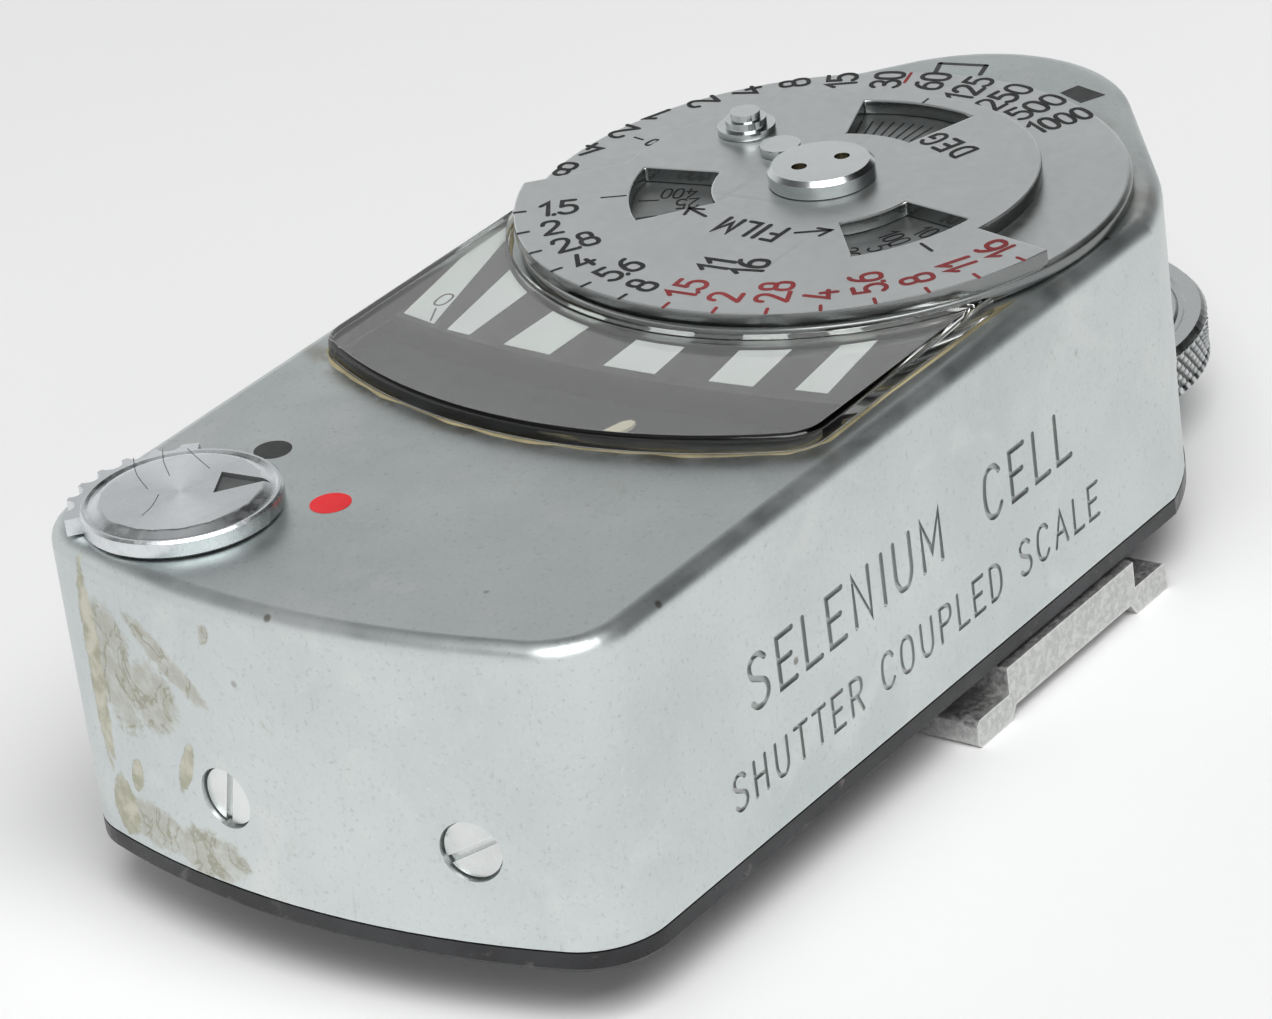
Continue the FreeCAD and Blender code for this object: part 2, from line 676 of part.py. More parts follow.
turned("lower_jewel", at(MX, 0, CARRIER_Z + 0.1), [
    (0, 0), (1.0, 0), (1.0, 1.35), (D["staff_r"] + D["run_gap"], 1.35),
    (D["staff_r"] + D["run_gap"], 0.6), (0, 0.6)])
YOKE_Z = 8.2
ring("yoke_ring", at(MX, 0, YOKE_Z), "yoke_in", "yoke_out", 6.6)
core_blank = ring(None, at(0, 0, 0), 0.7, "core_r", 5.6)
bar_slot = solid("Box", at(-4.5, -0.6, 2.3), Length=9.0, Width=1.2, Height=1.0)
core = cut(core_blank, bar_slot)
core.Placement = at(MX, 0, YOKE_Z + 0.5)
node(core, "core_magnet")
carry_bar = solid("Box", at(-5.65, -0.6, 0), Length=11.3, Width=1.2, Height=1.0)
carry_hole = solid("Cylinder", at(0, 0, -1), Radius=0.5, Height=3.0)
core_carrier = cut(carry_bar, carry_hole)
core_carrier.Placement = at(MX, 0, YOKE_Z + 2.8)
node(core_carrier, "core_carrier")
coil_out = solid("Box", at(-0.9, -5.2, 0), Length=1.8, Width=10.4, Height=8.2)
coil_in = solid("Box", at(-1.5, -4.5, 0.8), Length=3.0, Width=9.0, Height=6.6)
coil_hole = solid("Cylinder", at(0, 0, -1), Radius="staff_r", Height=11.0)
coil = cut(coil_out, fuse([coil_in, coil_hole]))
coil.Placement = at(MX, 0, 7.4, NEEDLE_REST)
node(coil, "moving_coil")
STAFF_Z = CARRIER_Z + 0.75
STAFF_H = COVER_TOP - D["top_t"] - 0.3 - STAFF_Z
turned("pivot_staff", at(MX, 0, STAFF_Z), [
    (0, 0), ("staff_r", 0), ("staff_r", 0.78), (0.6, 0.78), (0.6, 1.14), ("staff_r", 1.14),
    ("staff_r", 10.2), (0.6, 10.2), (0.6, 10.56), ("staff_r", 10.56), ("staff_r", STAFF_H),
    (0, STAFF_H)])
strip_spiral("hairspring_lower", at(MX, 0, STAFF_Z + 0.8), 0.66, 2.4, 2.5, 0.14, 0.3)
strip_spiral("hairspring_upper", at(MX, 0, STAFF_Z + 10.23), 0.66, 2.4, 2.5, 0.14, 0.3)
NEEDLE_Z = STAFF_Z + STAFF_H - 0.25
TAIL = 4.2
needle_body = plate(None, at(0, 0, 0), [
    (-TAIL, -0.25), (0, -0.45), (8.0, -0.42), (13.7, -0.1), (13.7, 0.1), (8.0, 0.42),
    (0, 0.45), (-TAIL, 0.25)], 0.15)
hub = solid("Cylinder", at(0, 0, -0.15), Radius=0.85, Height=0.35)
weight = solid("Cylinder", at(-TAIL, 0, -0.15), Radius=0.6, Height=0.45)
staff_hole = solid("Cylinder", at(0, 0, -1), Radius="staff_r", Height=3.0)
needle = cut(fuse([needle_body, hub, weight]), staff_hole)
needle.Placement = at(MX, 0, NEEDLE_Z, NEEDLE_REST)
node(needle, "needle")
stops = []
for angle in (-41.0, 40.0):
    x = MX + 4.4 * math.cos(math.radians(angle))
    y = 4.4 * math.sin(math.radians(angle))
    stops.append(ring(None, at(x, y, BRIDGE_TOP), 0, 0.25, 0.95))
group("needle_stops", stops)

# Zero adjuster: a slotted screw in the base plate whose offset pin swings the
# lower hairspring's regulator arm.
ARM_Z = CARRIER_Z + 1.03
PIN_X = ZERO_X + 0.6
arm_ring = solid("Cylinder", at(0, 0, 0), Radius=1.9, Height=0.3)
arm_bar = solid("Box", at(1.0, -0.8, 0), Length=5.2, Width=1.6, Height=0.3)
arm_bore = solid("Cylinder", at(0, 0, -1), Radius=1.0 + D["run_gap"], Height=3.0)
arm_fork = solid("Box", at(4.2, -0.35, -1), Length=3.0, Width=0.7, Height=3.0)
stud = solid("Cylinder", at(-2.87, 0, 0), Radius=0.25, Height=0.9)
tail_bar = solid("Box", at(-3.12, -0.35, 0), Length=2.0, Width=0.7, Height=0.3)
arm_blank = fuse([arm_ring, arm_bar, tail_bar, stud])
arm = cut(arm_blank, fuse([arm_bore, arm_fork]))
arm.Placement = at(MX, 0, ARM_Z)
zero_head = turned(None, at(0, 0, 0), [(0, 0), (1.25, 0), (1.25, 1.85), (0, 1.85)])
zero_pin = solid("Cylinder", at(0.6, 0, 1.85), Radius=0.3, Height=1.75)
zero_slot = solid("Box", at(-1.5, -0.22, -1), Length=3.0, Width=0.44, Height=1.5)
zero = cut(fuse([zero_head, zero_pin]), zero_slot)
zero.Placement = at(MX + ZERO_X, 0, BASE_Z + 0.05)
node(zero, "zero_screw")
node(arm, "regulator_arm")

# Range switch: knob, shaft, wiper, contact plate and series resistor.
KX = D["knob_x"]
KY = D["knob_y"]
KNOB_Z = COVER_TOP + 0.1
knob = turned(None, at(0, 0, 0), [
    ("range_r", 0), (4.85, 0), ("knob_r", 0.15), ("knob_r", 0.85), (4.88, 0.97),
    (4.75, 0.97), (4.6, 0.88), (4.45, 0.92), (4.15, 1.1), (4.0, "knob_t"),
    (0, "knob_t"), (0, 0.75), ("range_r", 0.75)])
crown_sketch = sketch_on(knob, "XY_Plane")
TEETH_FROM = math.radians(30.5)
TEETH_TO = math.radians(138.5)
CROWN_R = D["tooth_r"]
CROWN_IN = 4.6
crown_curves = [
    (arc(0, 0, D["tooth_r"], TEETH_FROM, TEETH_TO), "dims.tooth_r"),
    (line((CROWN_R * math.cos(TEETH_TO), CROWN_R * math.sin(TEETH_TO)),
          (CROWN_IN * math.cos(TEETH_TO), CROWN_IN * math.sin(TEETH_TO))), None),
    (arc(0, 0, CROWN_IN, TEETH_FROM, TEETH_TO), None),
    (line((CROWN_IN * math.cos(TEETH_FROM), CROWN_IN * math.sin(TEETH_FROM)),
          (CROWN_R * math.cos(TEETH_FROM), CROWN_R * math.sin(TEETH_FROM))), None),
]
outline(crown_sketch, crown_curves)
feature(knob, "Pad", crown_sketch, 0.88)
scallop_sketch = sketch_on(knob, "XY_Plane", 0.88)
first = math.radians(45.75)
circle(scallop_sketch, 5.85 * math.cos(first), 5.85 * math.sin(first), 0.62)
scallop = feature(knob, "Pocket", scallop_sketch, 2.0)
row_of = knob.newObject("PartDesign::PolarPattern", "PolarPattern")
row_of.Originals = [scallop]
row_of.Axis = (scallop_sketch, ["N_Axis"])
row_of.Angle = 77.5
row_of.Occurrences = 6
knob.Tip = row_of
doc.recompute()
knob.Placement = at(KX, KY, KNOB_Z)
node(knob, "range_knob")
SHAFT_LOW = 8.0
turned("range_shaft", at(KX, KY, SHAFT_LOW), [
    (0, 0), (0.8, 0), (0.8, 2.4), ("range_r", 2.4),
    ("range_r", KNOB_Z + 0.7 - SHAFT_LOW),
    (0, KNOB_Z + 0.7 - SHAFT_LOW)])
turned("range_bush", at(KX, KY, CEILING - 0.6), [
    (D["range_r"] + D["run_gap"], 0), (2.9, 0), (2.9, 0.6), (2.2, 0.6),
    (2.2, 1.75), (D["range_r"] + D["run_gap"], 1.75)])
wiper_ring = solid("Cylinder", at(0, 0, 0), Radius=1.5, Height=0.4)
wiper_arm = solid("Box", at(0, -0.45, 0), Length=2.5, Width=0.9, Height=0.4)
wiper_hole = solid("Cylinder", at(0, 0, -1), Radius=0.8, Height=3.0)
wiper = cut(fuse([wiper_ring, wiper_arm]), wiper_hole)
wiper.Placement = at(KX, KY, 9.9, -80.0)
node(wiper, "range_wiper")
deck = solid("Cylinder", at(0, 0, 0), Radius=2.9, Height=0.7)
studs = [solid("Cylinder", at(2.1 * math.cos(math.radians(a)), 2.1 * math.sin(math.radians(a)), 0),
               Radius=0.4, Height=0.8) for a in (-80.0, -26.0, 28.0)]
deck_hole = solid("Cylinder", at(0, 0, -1), Radius=0.8 + D["run_gap"], Height=3.0)
deck = cut(fuse([deck] + studs), deck_hole)
deck.Placement = at(KX, KY, 9.0)
node(deck, "contact_plate")
ring("range_resistor", Placement(Vector(-22.0, 11.2, 6.3), Rotation(UP, Vector(1, 0, 0))),
     0, 0.9, 5.0)

# Speed dial train: disc, spindle, bush, gear, clip, nut and friction washer.
DX = D["dial_x"]
speed = turned(None, at(DX, 0, DISC_Z), [
    ("spindle_r", 0), ("disc_r", 0), ("disc_r", 0.55), (D["disc_r"] - 0.2, "disc_t"),
    (4.6, "disc_t"), (4.6, 0.4), ("spindle_r", 0.4)])
latch_sketch = sketch_on(speed, "XY_Plane", D["disc_t"])
LOCK_A = 62.5
LOCK_R = 8.45
G0 = math.radians(LOCK_A - 37.5)
G1 = math.radians(LOCK_A + 37.5)
groove = [(r * math.cos(a), r * math.sin(a)) for r, a in
          ((LOCK_R - 0.3, G0), (LOCK_R + 0.3, G0), (LOCK_R + 0.3, G1), (LOCK_R - 0.3, G1))]
outline(latch_sketch, [
    (line(groove[0], groove[1]), None),
    (arc(0, 0, LOCK_R + 0.3, G0, G1), None),
    (line(groove[2], groove[3]), None),
    (arc(0, 0, LOCK_R - 0.3, G0, G1), None),
])
feature(speed, "Pocket", latch_sketch, 0.3)
node(speed, "speed_disc")
SPINDLE_LOW = BRIDGE_Z - 0.9
SPINDLE_TOP = NUT_Z + 0.35
turned("dial_spindle", at(DX, 0, SPINDLE_LOW), [
    (0, 0), ("spindle_r", 0), ("spindle_r", SPINDLE_TOP - SPINDLE_LOW),
    (0, SPINDLE_TOP - SPINDLE_LOW)])
turned("dial_bush", at(DX, 0, CEILING - 0.5), [
    (D["spindle_r"] + D["run_gap"], 0), (4.0, 0), (4.0, 0.5), (3.2, 0.5), (3.2, 1.75),
    (D["spindle_r"] + D["run_gap"], 1.75)])
nut = turned(None, at(DX, 0, NUT_Z), [
    (0, 0.35), ("spindle_r", 0.35), ("spindle_r", 0), ("nut_r", 0), ("nut_r", 0.7),
    (D["nut_r"] - 0.25, "nut_t"), (0, "nut_t")])
hole_sketch = sketch_on(nut, "XY_Plane", D["nut_t"])
SPAN_A = math.radians(-36.0)
for s in (-1, 1):
    circle(hole_sketch, s * 1.2 * math.cos(SPAN_A), s * 1.2 * math.sin(SPAN_A), "spanner_r")
feature(nut, "Pocket", hole_sketch, 0.6)
node(nut, "centre_nut")
ring("friction_washer", at(DX, 0, DISC_Z + 0.42), 1.9, 4.3, 0.33)
DIAL_TEETH = 81
PINION_TEETH = 27
toothed("dial_gear", at(DX, 0, GEAR_Z), DIAL_TEETH, 0.0, "spindle_r", 3.4, 2.0)
ring("spindle_clip", at(DX, 0, BRIDGE_Z - 0.45), "spindle_r", 3.0, 0.35)

# Aperture disc: two-radius outline, three windows, bore, latch slot underneath.
upper = new_body(at(DX, 0, UPPER_Z))
upper_sketch = sketch_on(upper, "XY_Plane")
A0 = math.radians(112.0)
A1 = math.radians(258.0)
A2 = math.radians(100.0)
S0 = (D["small_r"] * math.cos(A2), D["small_r"] * math.sin(A2))
S1 = (D["small_r"] * math.cos(A1), D["small_r"] * math.sin(A1))
L0 = (D["lobe_r"] * math.cos(A0), D["lobe_r"] * math.sin(A0))
L1 = (D["lobe_r"] * math.cos(A1), D["lobe_r"] * math.sin(A1))
lobe_curves = [
    (arc(0, 0, D["lobe_r"], A0, A1), "dims.lobe_r"),
    (line(L1, S1), None),
    (arc(0, 0, D["small_r"], A1, A2 + 2 * math.pi), "dims.small_r"),
    (line(S0, L0), None),
]
outline(upper_sketch, lobe_curves)
circle(upper_sketch, 0, 0, D["spindle_r"] + D["run_gap"])
feature(upper, "Pad", upper_sketch, D["upper_t"], "dims.upper_t")
pane_sketch = sketch_on(upper, "XY_Plane", D["upper_t"])
PANE_IN = 5.9
PANE_OUT = 10.2
PANE_HALF = math.radians(19.5)
for centre in (1.5, 121.5, 241.5):
    p0 = math.radians(centre) - PANE_HALF
    p1 = math.radians(centre) + PANE_HALF
    corners = [(r * math.cos(a), r * math.sin(a)) for r, a in
               ((PANE_IN, p0), (PANE_OUT, p0), (PANE_OUT, p1), (PANE_IN, p1))]
    pane_curves = [
        (line(corners[0], corners[1]), None),
        (arc(0, 0, PANE_OUT, p0, p1), None),
        (line(corners[2], corners[3]), None),
        (arc(0, 0, PANE_IN, p0, p1), None),
    ]
    outline(pane_sketch, pane_curves)
LA = math.radians(LOCK_A)
circle(pane_sketch, LOCK_R * math.cos(LA), LOCK_R * math.sin(LA), 0.5)
RIVET_R = 4.6
circle(pane_sketch, RIVET_R * math.cos(LA), RIVET_R * math.sin(LA), 0.5)
feature(upper, "Pocket", pane_sketch, D["upper_t"] + 0.5)
slot_sketch = sketch_on(upper, "XY_Plane")
slot_points = [(3.4, -1.3), (10.0, -1.3), (10.0, 1.3), (3.4, 1.3)]
spun = [(x * math.cos(LA) - y * math.sin(LA), x * math.sin(LA) + y * math.cos(LA))
        for x, y in slot_points]
polygon(slot_sketch, spun)
feature(upper, "Pocket", slot_sketch, 0.55, reverse=True)
node(upper, "aperture_disc")

LOCK_PLACE = at(DX + LOCK_R * math.cos(LA), LOCK_R * math.sin(LA), DISC_Z + 0.5)
CAP_Z = UPPER_TOP - DISC_Z - 0.5 + 0.02
turned("lock_button", LOCK_PLACE, [
    (0, 0), (0.25, 0), (0.25, 0.32), (0.8, 0.32), (0.8, 0.48), (0.45, 0.48), (0.45, CAP_Z),
    (1.57, CAP_Z), (1.57, CAP_Z + 0.38), (1.12, CAP_Z + 0.38), (1.12, CAP_Z + 0.78),
    (0.8, CAP_Z + 0.78), (0.8, CAP_Z + 1.15), (0, CAP_Z + 1.15)])
leaf_holes = [(LOCK_R, 0, 0.6), (RIVET_R, 0, 0.5)]
plate("lock_spring", at(DX, 0, UPPER_Z + 0.33, LOCK_A),
      box_points(3.7, 9.6, -0.95, 0.95), 0.1, leaf_holes)
turned("spring_rivet", at(DX + RIVET_R * math.cos(LA), RIVET_R * math.sin(LA), UPPER_Z + 0.1), [
    (0, 0), (0.9, 0), (0.9, 0.23), (0.5, 0.23), (0.5, 0.72), (1.09, 0.72), (1.09, 1.2), (0, 1.2)])

# Coupling train: knurled wheel under the nose, pinion above the gear bridge.
WX = D["wheel_x"]
wheel = turned(None, at(WX, 0, WHEEL_Z), [
    (0, 0.3), (3.0, 0.3), (3.0, 0), (D["wheel_r"] - 0.2, 0), ("wheel_r", 0.2),
    ("wheel_r", D["wheel_t"] - 0.35), (D["wheel_r"] - 0.35, "wheel_t"), (4.0, "wheel_t"),
    (4.0, 4.8), ("shaft_r", 4.8), ("shaft_r", 8.1), (0, 8.1)])
PIN_AT = (D["pin_orbit"] * math.cos(math.radians(200.0)),
          D["pin_orbit"] * math.sin(math.radians(200.0)))
shaft_hole = sketch_on(wheel, "XY_Plane", D["wheel_t"])
circle(shaft_hole, PIN_AT[0], PIN_AT[1], D["collar_r"] + D["run_gap"])
feature(wheel, "Pocket", shaft_hole, D["wheel_t"] + 0.5)
head_hole = sketch_on(wheel, "XY_Plane", D["wheel_t"])
circle(head_hole, PIN_AT[0], PIN_AT[1], 1.3)
feature(wheel, "Pocket", head_hole, D["wheel_t"] - 0.7)
node(wheel, "coupling_wheel")
PIN_X0 = WX + PIN_AT[0]
PIN_Y0 = PIN_AT[1]
turned("coupling_pin", at(PIN_X0, PIN_Y0, WHEEL_Z - 1.6), [
    (0, 0), (0.5, 0), ("pin_r", 0.3), ("pin_r", 1.4), ("collar_r", 1.5), ("collar_r", 2.31),
    (1.25, 2.31), (1.25, 2.8), (0, 2.8)])
ring("pin_cap", at(PIN_X0, PIN_Y0, WHEEL_Z + D["wheel_t"] - 0.45), 0, 1.3, 0.45)
COIL_TURNS = 3
coil_low = WHEEL_Z + 1.2 + 0.14
coil_high = WHEEL_Z + D["wheel_t"] - 0.45 - 0.14
helix = Part.makeHelix((coil_high - coil_low) / COIL_TURNS, coil_high - coil_low, 0.95)
WIRE_R = 0.12
rim = [Vector(0.95 + WIRE_R * math.cos(i * math.pi / 4), 0, WIRE_R * math.sin(i * math.pi / 4))
       for i in range(8)]
wire_round = Part.makePolygon(rim + [rim[0]])
spring = doc.addObject("Part::Feature", "Spring")
spring.Shape = Part.Wire(helix.Edges).makePipeShell([wire_round], True, True)
spring.Placement = at(PIN_X0, PIN_Y0, coil_low)
node(spring, "pin_spring")
toothed("pinion", at(WX, 0, GEAR_Z), PINION_TEETH, 0.0, "shaft_r", 2.6, 1.2)
ring("pinion_clip", at(WX, 0, GEAR_Z + 1.2), "shaft_r", 2.5, 0.28)

# Gear bridge on three pillars, with the wheel's bush.
shelf = new_body(at(DX, 0, BRIDGE_Z))
shelf_sketch = sketch_on(shelf, "XY_Plane")
inset = D["wall"] + 0.1
beta = math.acos((D["far_r"] - D["nose_r"]) / D["nose_x"])
nose = D["nose_r"] - inset
far = D["far_r"] - inset
tip = (D["nose_x"] + nose * math.cos(beta), nose * math.sin(beta))
bend = (far * math.cos(beta), far * math.sin(beta))
brow = (-7.0, math.sqrt(far ** 2 - 49.0))
side = math.atan2(15.6, math.sqrt(far ** 2 - 15.6 ** 2))
crest = (far * math.cos(side), 15.6)
shelf_curves = [
    (arc(D["nose_x"], 0, nose, -beta, beta), None),
    (line(tip, bend), None),
    (arc(0, 0, far, beta, side), None),
    (line(crest, (-2.6, 15.6)), None),
    (line((-2.6, 15.6), (-16.6, 2.4)), None),
    (line((-16.6, 2.4), (-16.6, -2.4)), None),
    (line((-16.6, -2.4), (-2.6, -15.6)), None),
    (line((-2.6, -15.6), (crest[0], -15.6)), None),
    (arc(0, 0, far, -side, -beta), None),
    (line((bend[0], -bend[1]), (tip[0], -tip[1])), None),
]
outline(shelf_sketch, shelf_curves)
circle(shelf_sketch, 0, 0, D["spindle_r"] + D["run_gap"])
circle(shelf_sketch, WX - DX, 0, 2.6)
for x, y in PILLARS:
    circle(shelf_sketch, x - DX, y, 0.8)
feature(shelf, "Pad", shelf_sketch, BRIDGE_T)
node(shelf, "gear_bridge")
ring("wheel_bush", at(WX, 0, BRIDGE_Z - 0.1), D["shaft_r"] + D["run_gap"], 2.6, 1.5)
pillar_list = []
for x, y in PILLARS:
    pillar_list.append(ring(None, at(x, y, STEP_TOP), 0.8, 1.6, BRIDGE_Z - STEP_TOP))
group("bridge_pillars", pillar_list)
bridge_bolts = []
for x, y in PILLARS:
    bridge_bolts.append(screw(at(x, y, NOTCH_TOP), 0.8, 4.4, 1.4, 0.8, 0.35, 0.4))
group("bridge_screws", bridge_bolts)

# Curved wall that closes the housing behind the coupling wheel.
screen = new_body(at(WX, 0, STEP_TOP))
screen_sketch = sketch_on(screen, "XY_Plane")
S_IN = 11.25
S_OUT = 11.95
SW0 = math.radians(117.0)
SW1 = math.radians(243.0)
screen_curves = [
    (arc(0, 0, S_OUT, SW0, SW1), None),
    (line((S_OUT * math.cos(SW1), S_OUT * math.sin(SW1)),
          (S_IN * math.cos(SW1), S_IN * math.sin(SW1))), None),
    (arc(0, 0, S_IN, SW0, SW1), None),
    (line((S_IN * math.cos(SW0), S_IN * math.sin(SW0)),
          (S_OUT * math.cos(SW0), S_OUT * math.sin(SW0))), None),
]
outline(screen_sketch, screen_curves)
feature(screen, "Pad", screen_sketch, BRIDGE_Z - STEP_TOP)
node(screen, "bay_wall")


def lead(points, r):
    """An insulated wire laid along straight runs with round corners."""
    runs = []
    for p, q in zip(points[:-1], points[1:]):
        way = q.sub(p)
        runs.append(solid("Cylinder", Placement(p, Rotation(UP, way)), Radius=r, Height=way.Length))
        runs.append(solid("Sphere", Placement(q, Rotation()), Radius=r))
    return fuse(runs[:-1])


lead_a = lead([Vector(-25.0, 13.4, 6.1), Vector(-25.0, 9.5, 6.1), Vector(-27.0, 8.6, 6.9)], 0.3)
lead_b = lead([Vector(-7.0, 13.4, 6.1), Vector(-7.0, 5.0, 5.9), Vector(-21.5, 4.2, 5.9),
               Vector(-23.7, 2.6, 6.9)], 0.3)
group("cell_leads", [lead_a, lead_b])

# Every object must be sound before anything is written.
doc.recompute()
faults = [o.Label for o in doc.Objects if "Invalid" in o.State or "Error" in o.State]
for label, obj in NODES:
    if obj.Shape.isNull() or not obj.Shape.isValid() or not obj.Shape.Solids:
        faults.append(label)
if faults:
    raise RuntimeError("unsound: " + ", ".join(faults))
os.makedirs("parts", exist_ok=True)
for label, obj in NODES:
    obj.Shape.exportStep(os.path.join("parts", label + ".step"))
print("%d nodes written" % len(NODES))
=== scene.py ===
import json
import math

import bmesh
import bpy
from mathutils import Matrix, Vector


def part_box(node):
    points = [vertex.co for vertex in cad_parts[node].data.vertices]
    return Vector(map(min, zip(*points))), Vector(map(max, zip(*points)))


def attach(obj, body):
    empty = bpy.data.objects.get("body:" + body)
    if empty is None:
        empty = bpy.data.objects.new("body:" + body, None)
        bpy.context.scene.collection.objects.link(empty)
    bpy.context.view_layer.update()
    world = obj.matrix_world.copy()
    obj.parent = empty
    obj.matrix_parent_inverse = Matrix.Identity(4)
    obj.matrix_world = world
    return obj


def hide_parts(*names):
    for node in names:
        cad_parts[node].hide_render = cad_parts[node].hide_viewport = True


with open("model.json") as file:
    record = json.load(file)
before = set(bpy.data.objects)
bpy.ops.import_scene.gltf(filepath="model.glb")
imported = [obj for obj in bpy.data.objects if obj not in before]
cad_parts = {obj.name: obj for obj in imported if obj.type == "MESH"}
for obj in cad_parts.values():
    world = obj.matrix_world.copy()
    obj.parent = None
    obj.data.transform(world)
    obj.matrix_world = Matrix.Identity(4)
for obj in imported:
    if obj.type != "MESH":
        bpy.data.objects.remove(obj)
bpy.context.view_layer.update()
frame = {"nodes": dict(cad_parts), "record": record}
NODES = frame["nodes"]
SLOT_OF = {p["node"]: p["material_slot"] for p in frame["record"]["subparts"]}
MM = 0.001

# Places and heights read from the frame, in millimetres.


def low(node):
    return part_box(node)[0] / MM


def high(node):
    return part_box(node)[1] / MM


def mid(node):
    return (low(node) + high(node)) / 2


DIAL = mid("centre_nut")
DX = DIAL.x
COVER_TOP = high("housing_cover").z
SPEED_TOP = high("speed_disc").z
UPPER_TOP = high("aperture_disc").z
STRIPE_TOP = high("scale_plate").z
BACK_Y = low("housing_cover").y
KNOB = mid("range_shaft")
KNOB_TOP = high("range_knob").z
WHEEL = mid("pinion")
NEEDLE_REST = math.radians(-15.1)


# ---------------------------------------------------------------- materials

class Tree:
    """A small builder for one material's nodes."""

    def __init__(self, name):
        self.mat = bpy.data.materials.new(name)
        self.mat.use_nodes = True
        self.tree = self.mat.node_tree
        self.tree.nodes.clear()
        out = self.new("OutputMaterial")
        self.bsdf = self.new("BsdfPrincipled")
        self.tree.links.new(self.bsdf.outputs[0], out.inputs[0])
        self.coord = self.new("TexCoord").outputs["Object"]

    def new(self, kind):
        return self.tree.nodes.new("ShaderNode" + kind)

    def put(self, socket, value):
        if hasattr(value, "is_output"):
            self.tree.links.new(value, socket)
        else:
            socket.default_value = value

    def set(self, **values):
        for key, value in values.items():
            self.put(self.bsdf.inputs[key.replace("_", " ")], value)

    def noise(self, scale, detail=3.0, rough=0.5, stretch=None, distort=0.0):
        source = self.coord
        if stretch:
            shape = self.new("Mapping")
            shape.inputs["Scale"].default_value = stretch[0]
            shape.inputs["Rotation"].default_value = stretch[1]
            self.tree.links.new(source, shape.inputs["Vector"])
            source = shape.outputs[0]
        node = self.new("TexNoise")
        node.inputs["Scale"].default_value = scale
        node.inputs["Detail"].default_value = detail
        node.inputs["Roughness"].default_value = rough
        node.inputs["Distortion"].default_value = distort
        self.tree.links.new(source, node.inputs["Vector"])
        return node.outputs["Fac"]

    def cells(self, scale):
        node = self.new("TexVoronoi")
        node.inputs["Scale"].default_value = scale
        self.tree.links.new(self.coord, node.inputs["Vector"])
        return node.outputs["Distance"]

    def math(self, kind, a, b=0.0, c=None):
        node = self.new("Math")
        node.operation = kind
        self.put(node.inputs[0], a)
        self.put(node.inputs[1], b)
        if c is not None:
            self.put(node.inputs[2], c)
        return node.outputs[0]

    def done(self, tone, metallic, rough, normal, **more):
        """Sets the shader's main sockets and gives the material."""
        self.set(Base_Color=tone, Metallic=metallic, Roughness=rough, Normal=normal, **more)
        return self.mat

    def times(self, a, b):
        return self.math("MULTIPLY", a, b)

    def span(self, value, a, b, to_a=0.0, to_b=1.0):
        node = self.new("MapRange")
        node.interpolation_type = "SMOOTHSTEP"
        self.put(node.inputs["Value"], value)
        node.inputs["From Min"].default_value = a
        node.inputs["From Max"].default_value = b
        node.inputs["To Min"].default_value = to_a
        node.inputs["To Max"].default_value = to_b
        return node.outputs["Result"]

    def mix(self, fac, a, b):
        node = self.new("Mix")
        node.data_type = "RGBA"
        self.put(node.inputs["Factor"], fac)
        colours = [s for s in node.inputs if s.type == "RGBA"]
        self.put(colours[0], a if hasattr(a, "is_output") else (*a, 1.0))
        self.put(colours[1], b if hasattr(b, "is_output") else (*b, 1.0))
        return [s for s in node.outputs if s.type == "RGBA"][0]

    def lay(self, under, mask, amount, over):
        """The colour over laid on the colour under, as strongly as the mask and amount say."""
        return self.mix(self.times(mask, amount), under, over)

    def bump(self, height, strength, depth, under=None):
        node = self.new("Bump")
        node.inputs["Strength"].default_value = strength
        node.inputs["Distance"].default_value = depth * MM
        self.put(node.inputs["Height"], height)
        if under is not None:
            self.tree.links.new(under, node.inputs["Normal"])
        return node.outputs["Normal"]

    def axis(self, name, source=None):
        node = self.new("SeparateXYZ")
        self.tree.links.new(source or self.coord, node.inputs[0])
        return node.outputs[name]

    def reach(self, x, y):
        return self.math("SQRT", self.math("ADD", self.times(x, x), self.times(y, y)))

    def facing(self):
        """How level the surface is: 1 on flat tops, 0 on upright sides."""
        geo = self.new("NewGeometry")
        return self.math("ABSOLUTE", self.axis("Z", geo.outputs["Normal"]))

    def edge(self, radius):
        """A mask for painted edge highlights: 1 where the surface turns a convex corner."""
        geo = self.new("NewGeometry")
        bevel = self.new("Bevel")
        bevel.inputs["Radius"].default_value = radius * MM
        bevel.samples = 4
        dot = self.new("VectorMath")
        dot.operation = "DOT_PRODUCT"
        self.tree.links.new(bevel.outputs[0], dot.inputs[0])
        self.tree.links.new(geo.outputs["Normal"], dot.inputs[1])
        return self.span(dot.outputs["Value"], 0.999, 0.93)

    def blob(self, centre, radii, turn=0.0):
        """1 at the centre of an ellipsoid in millimetres, falling to 0 at its edge."""
        shape = self.new("Mapping")
        shape.vector_type = "TEXTURE"
        shape.inputs["Location"].default_value = [c * MM for c in centre]
        shape.inputs["Rotation"].default_value = (turn, 0, 0)
        shape.inputs["Scale"].default_value = [r * MM for r in radii]
        self.tree.links.new(self.coord, shape.inputs["Vector"])
        ball = self.new("TexGradient")
        ball.gradient_type = "SPHERICAL"
        self.tree.links.new(shape.outputs[0], ball.inputs["Vector"])
        return ball.outputs["Fac"]


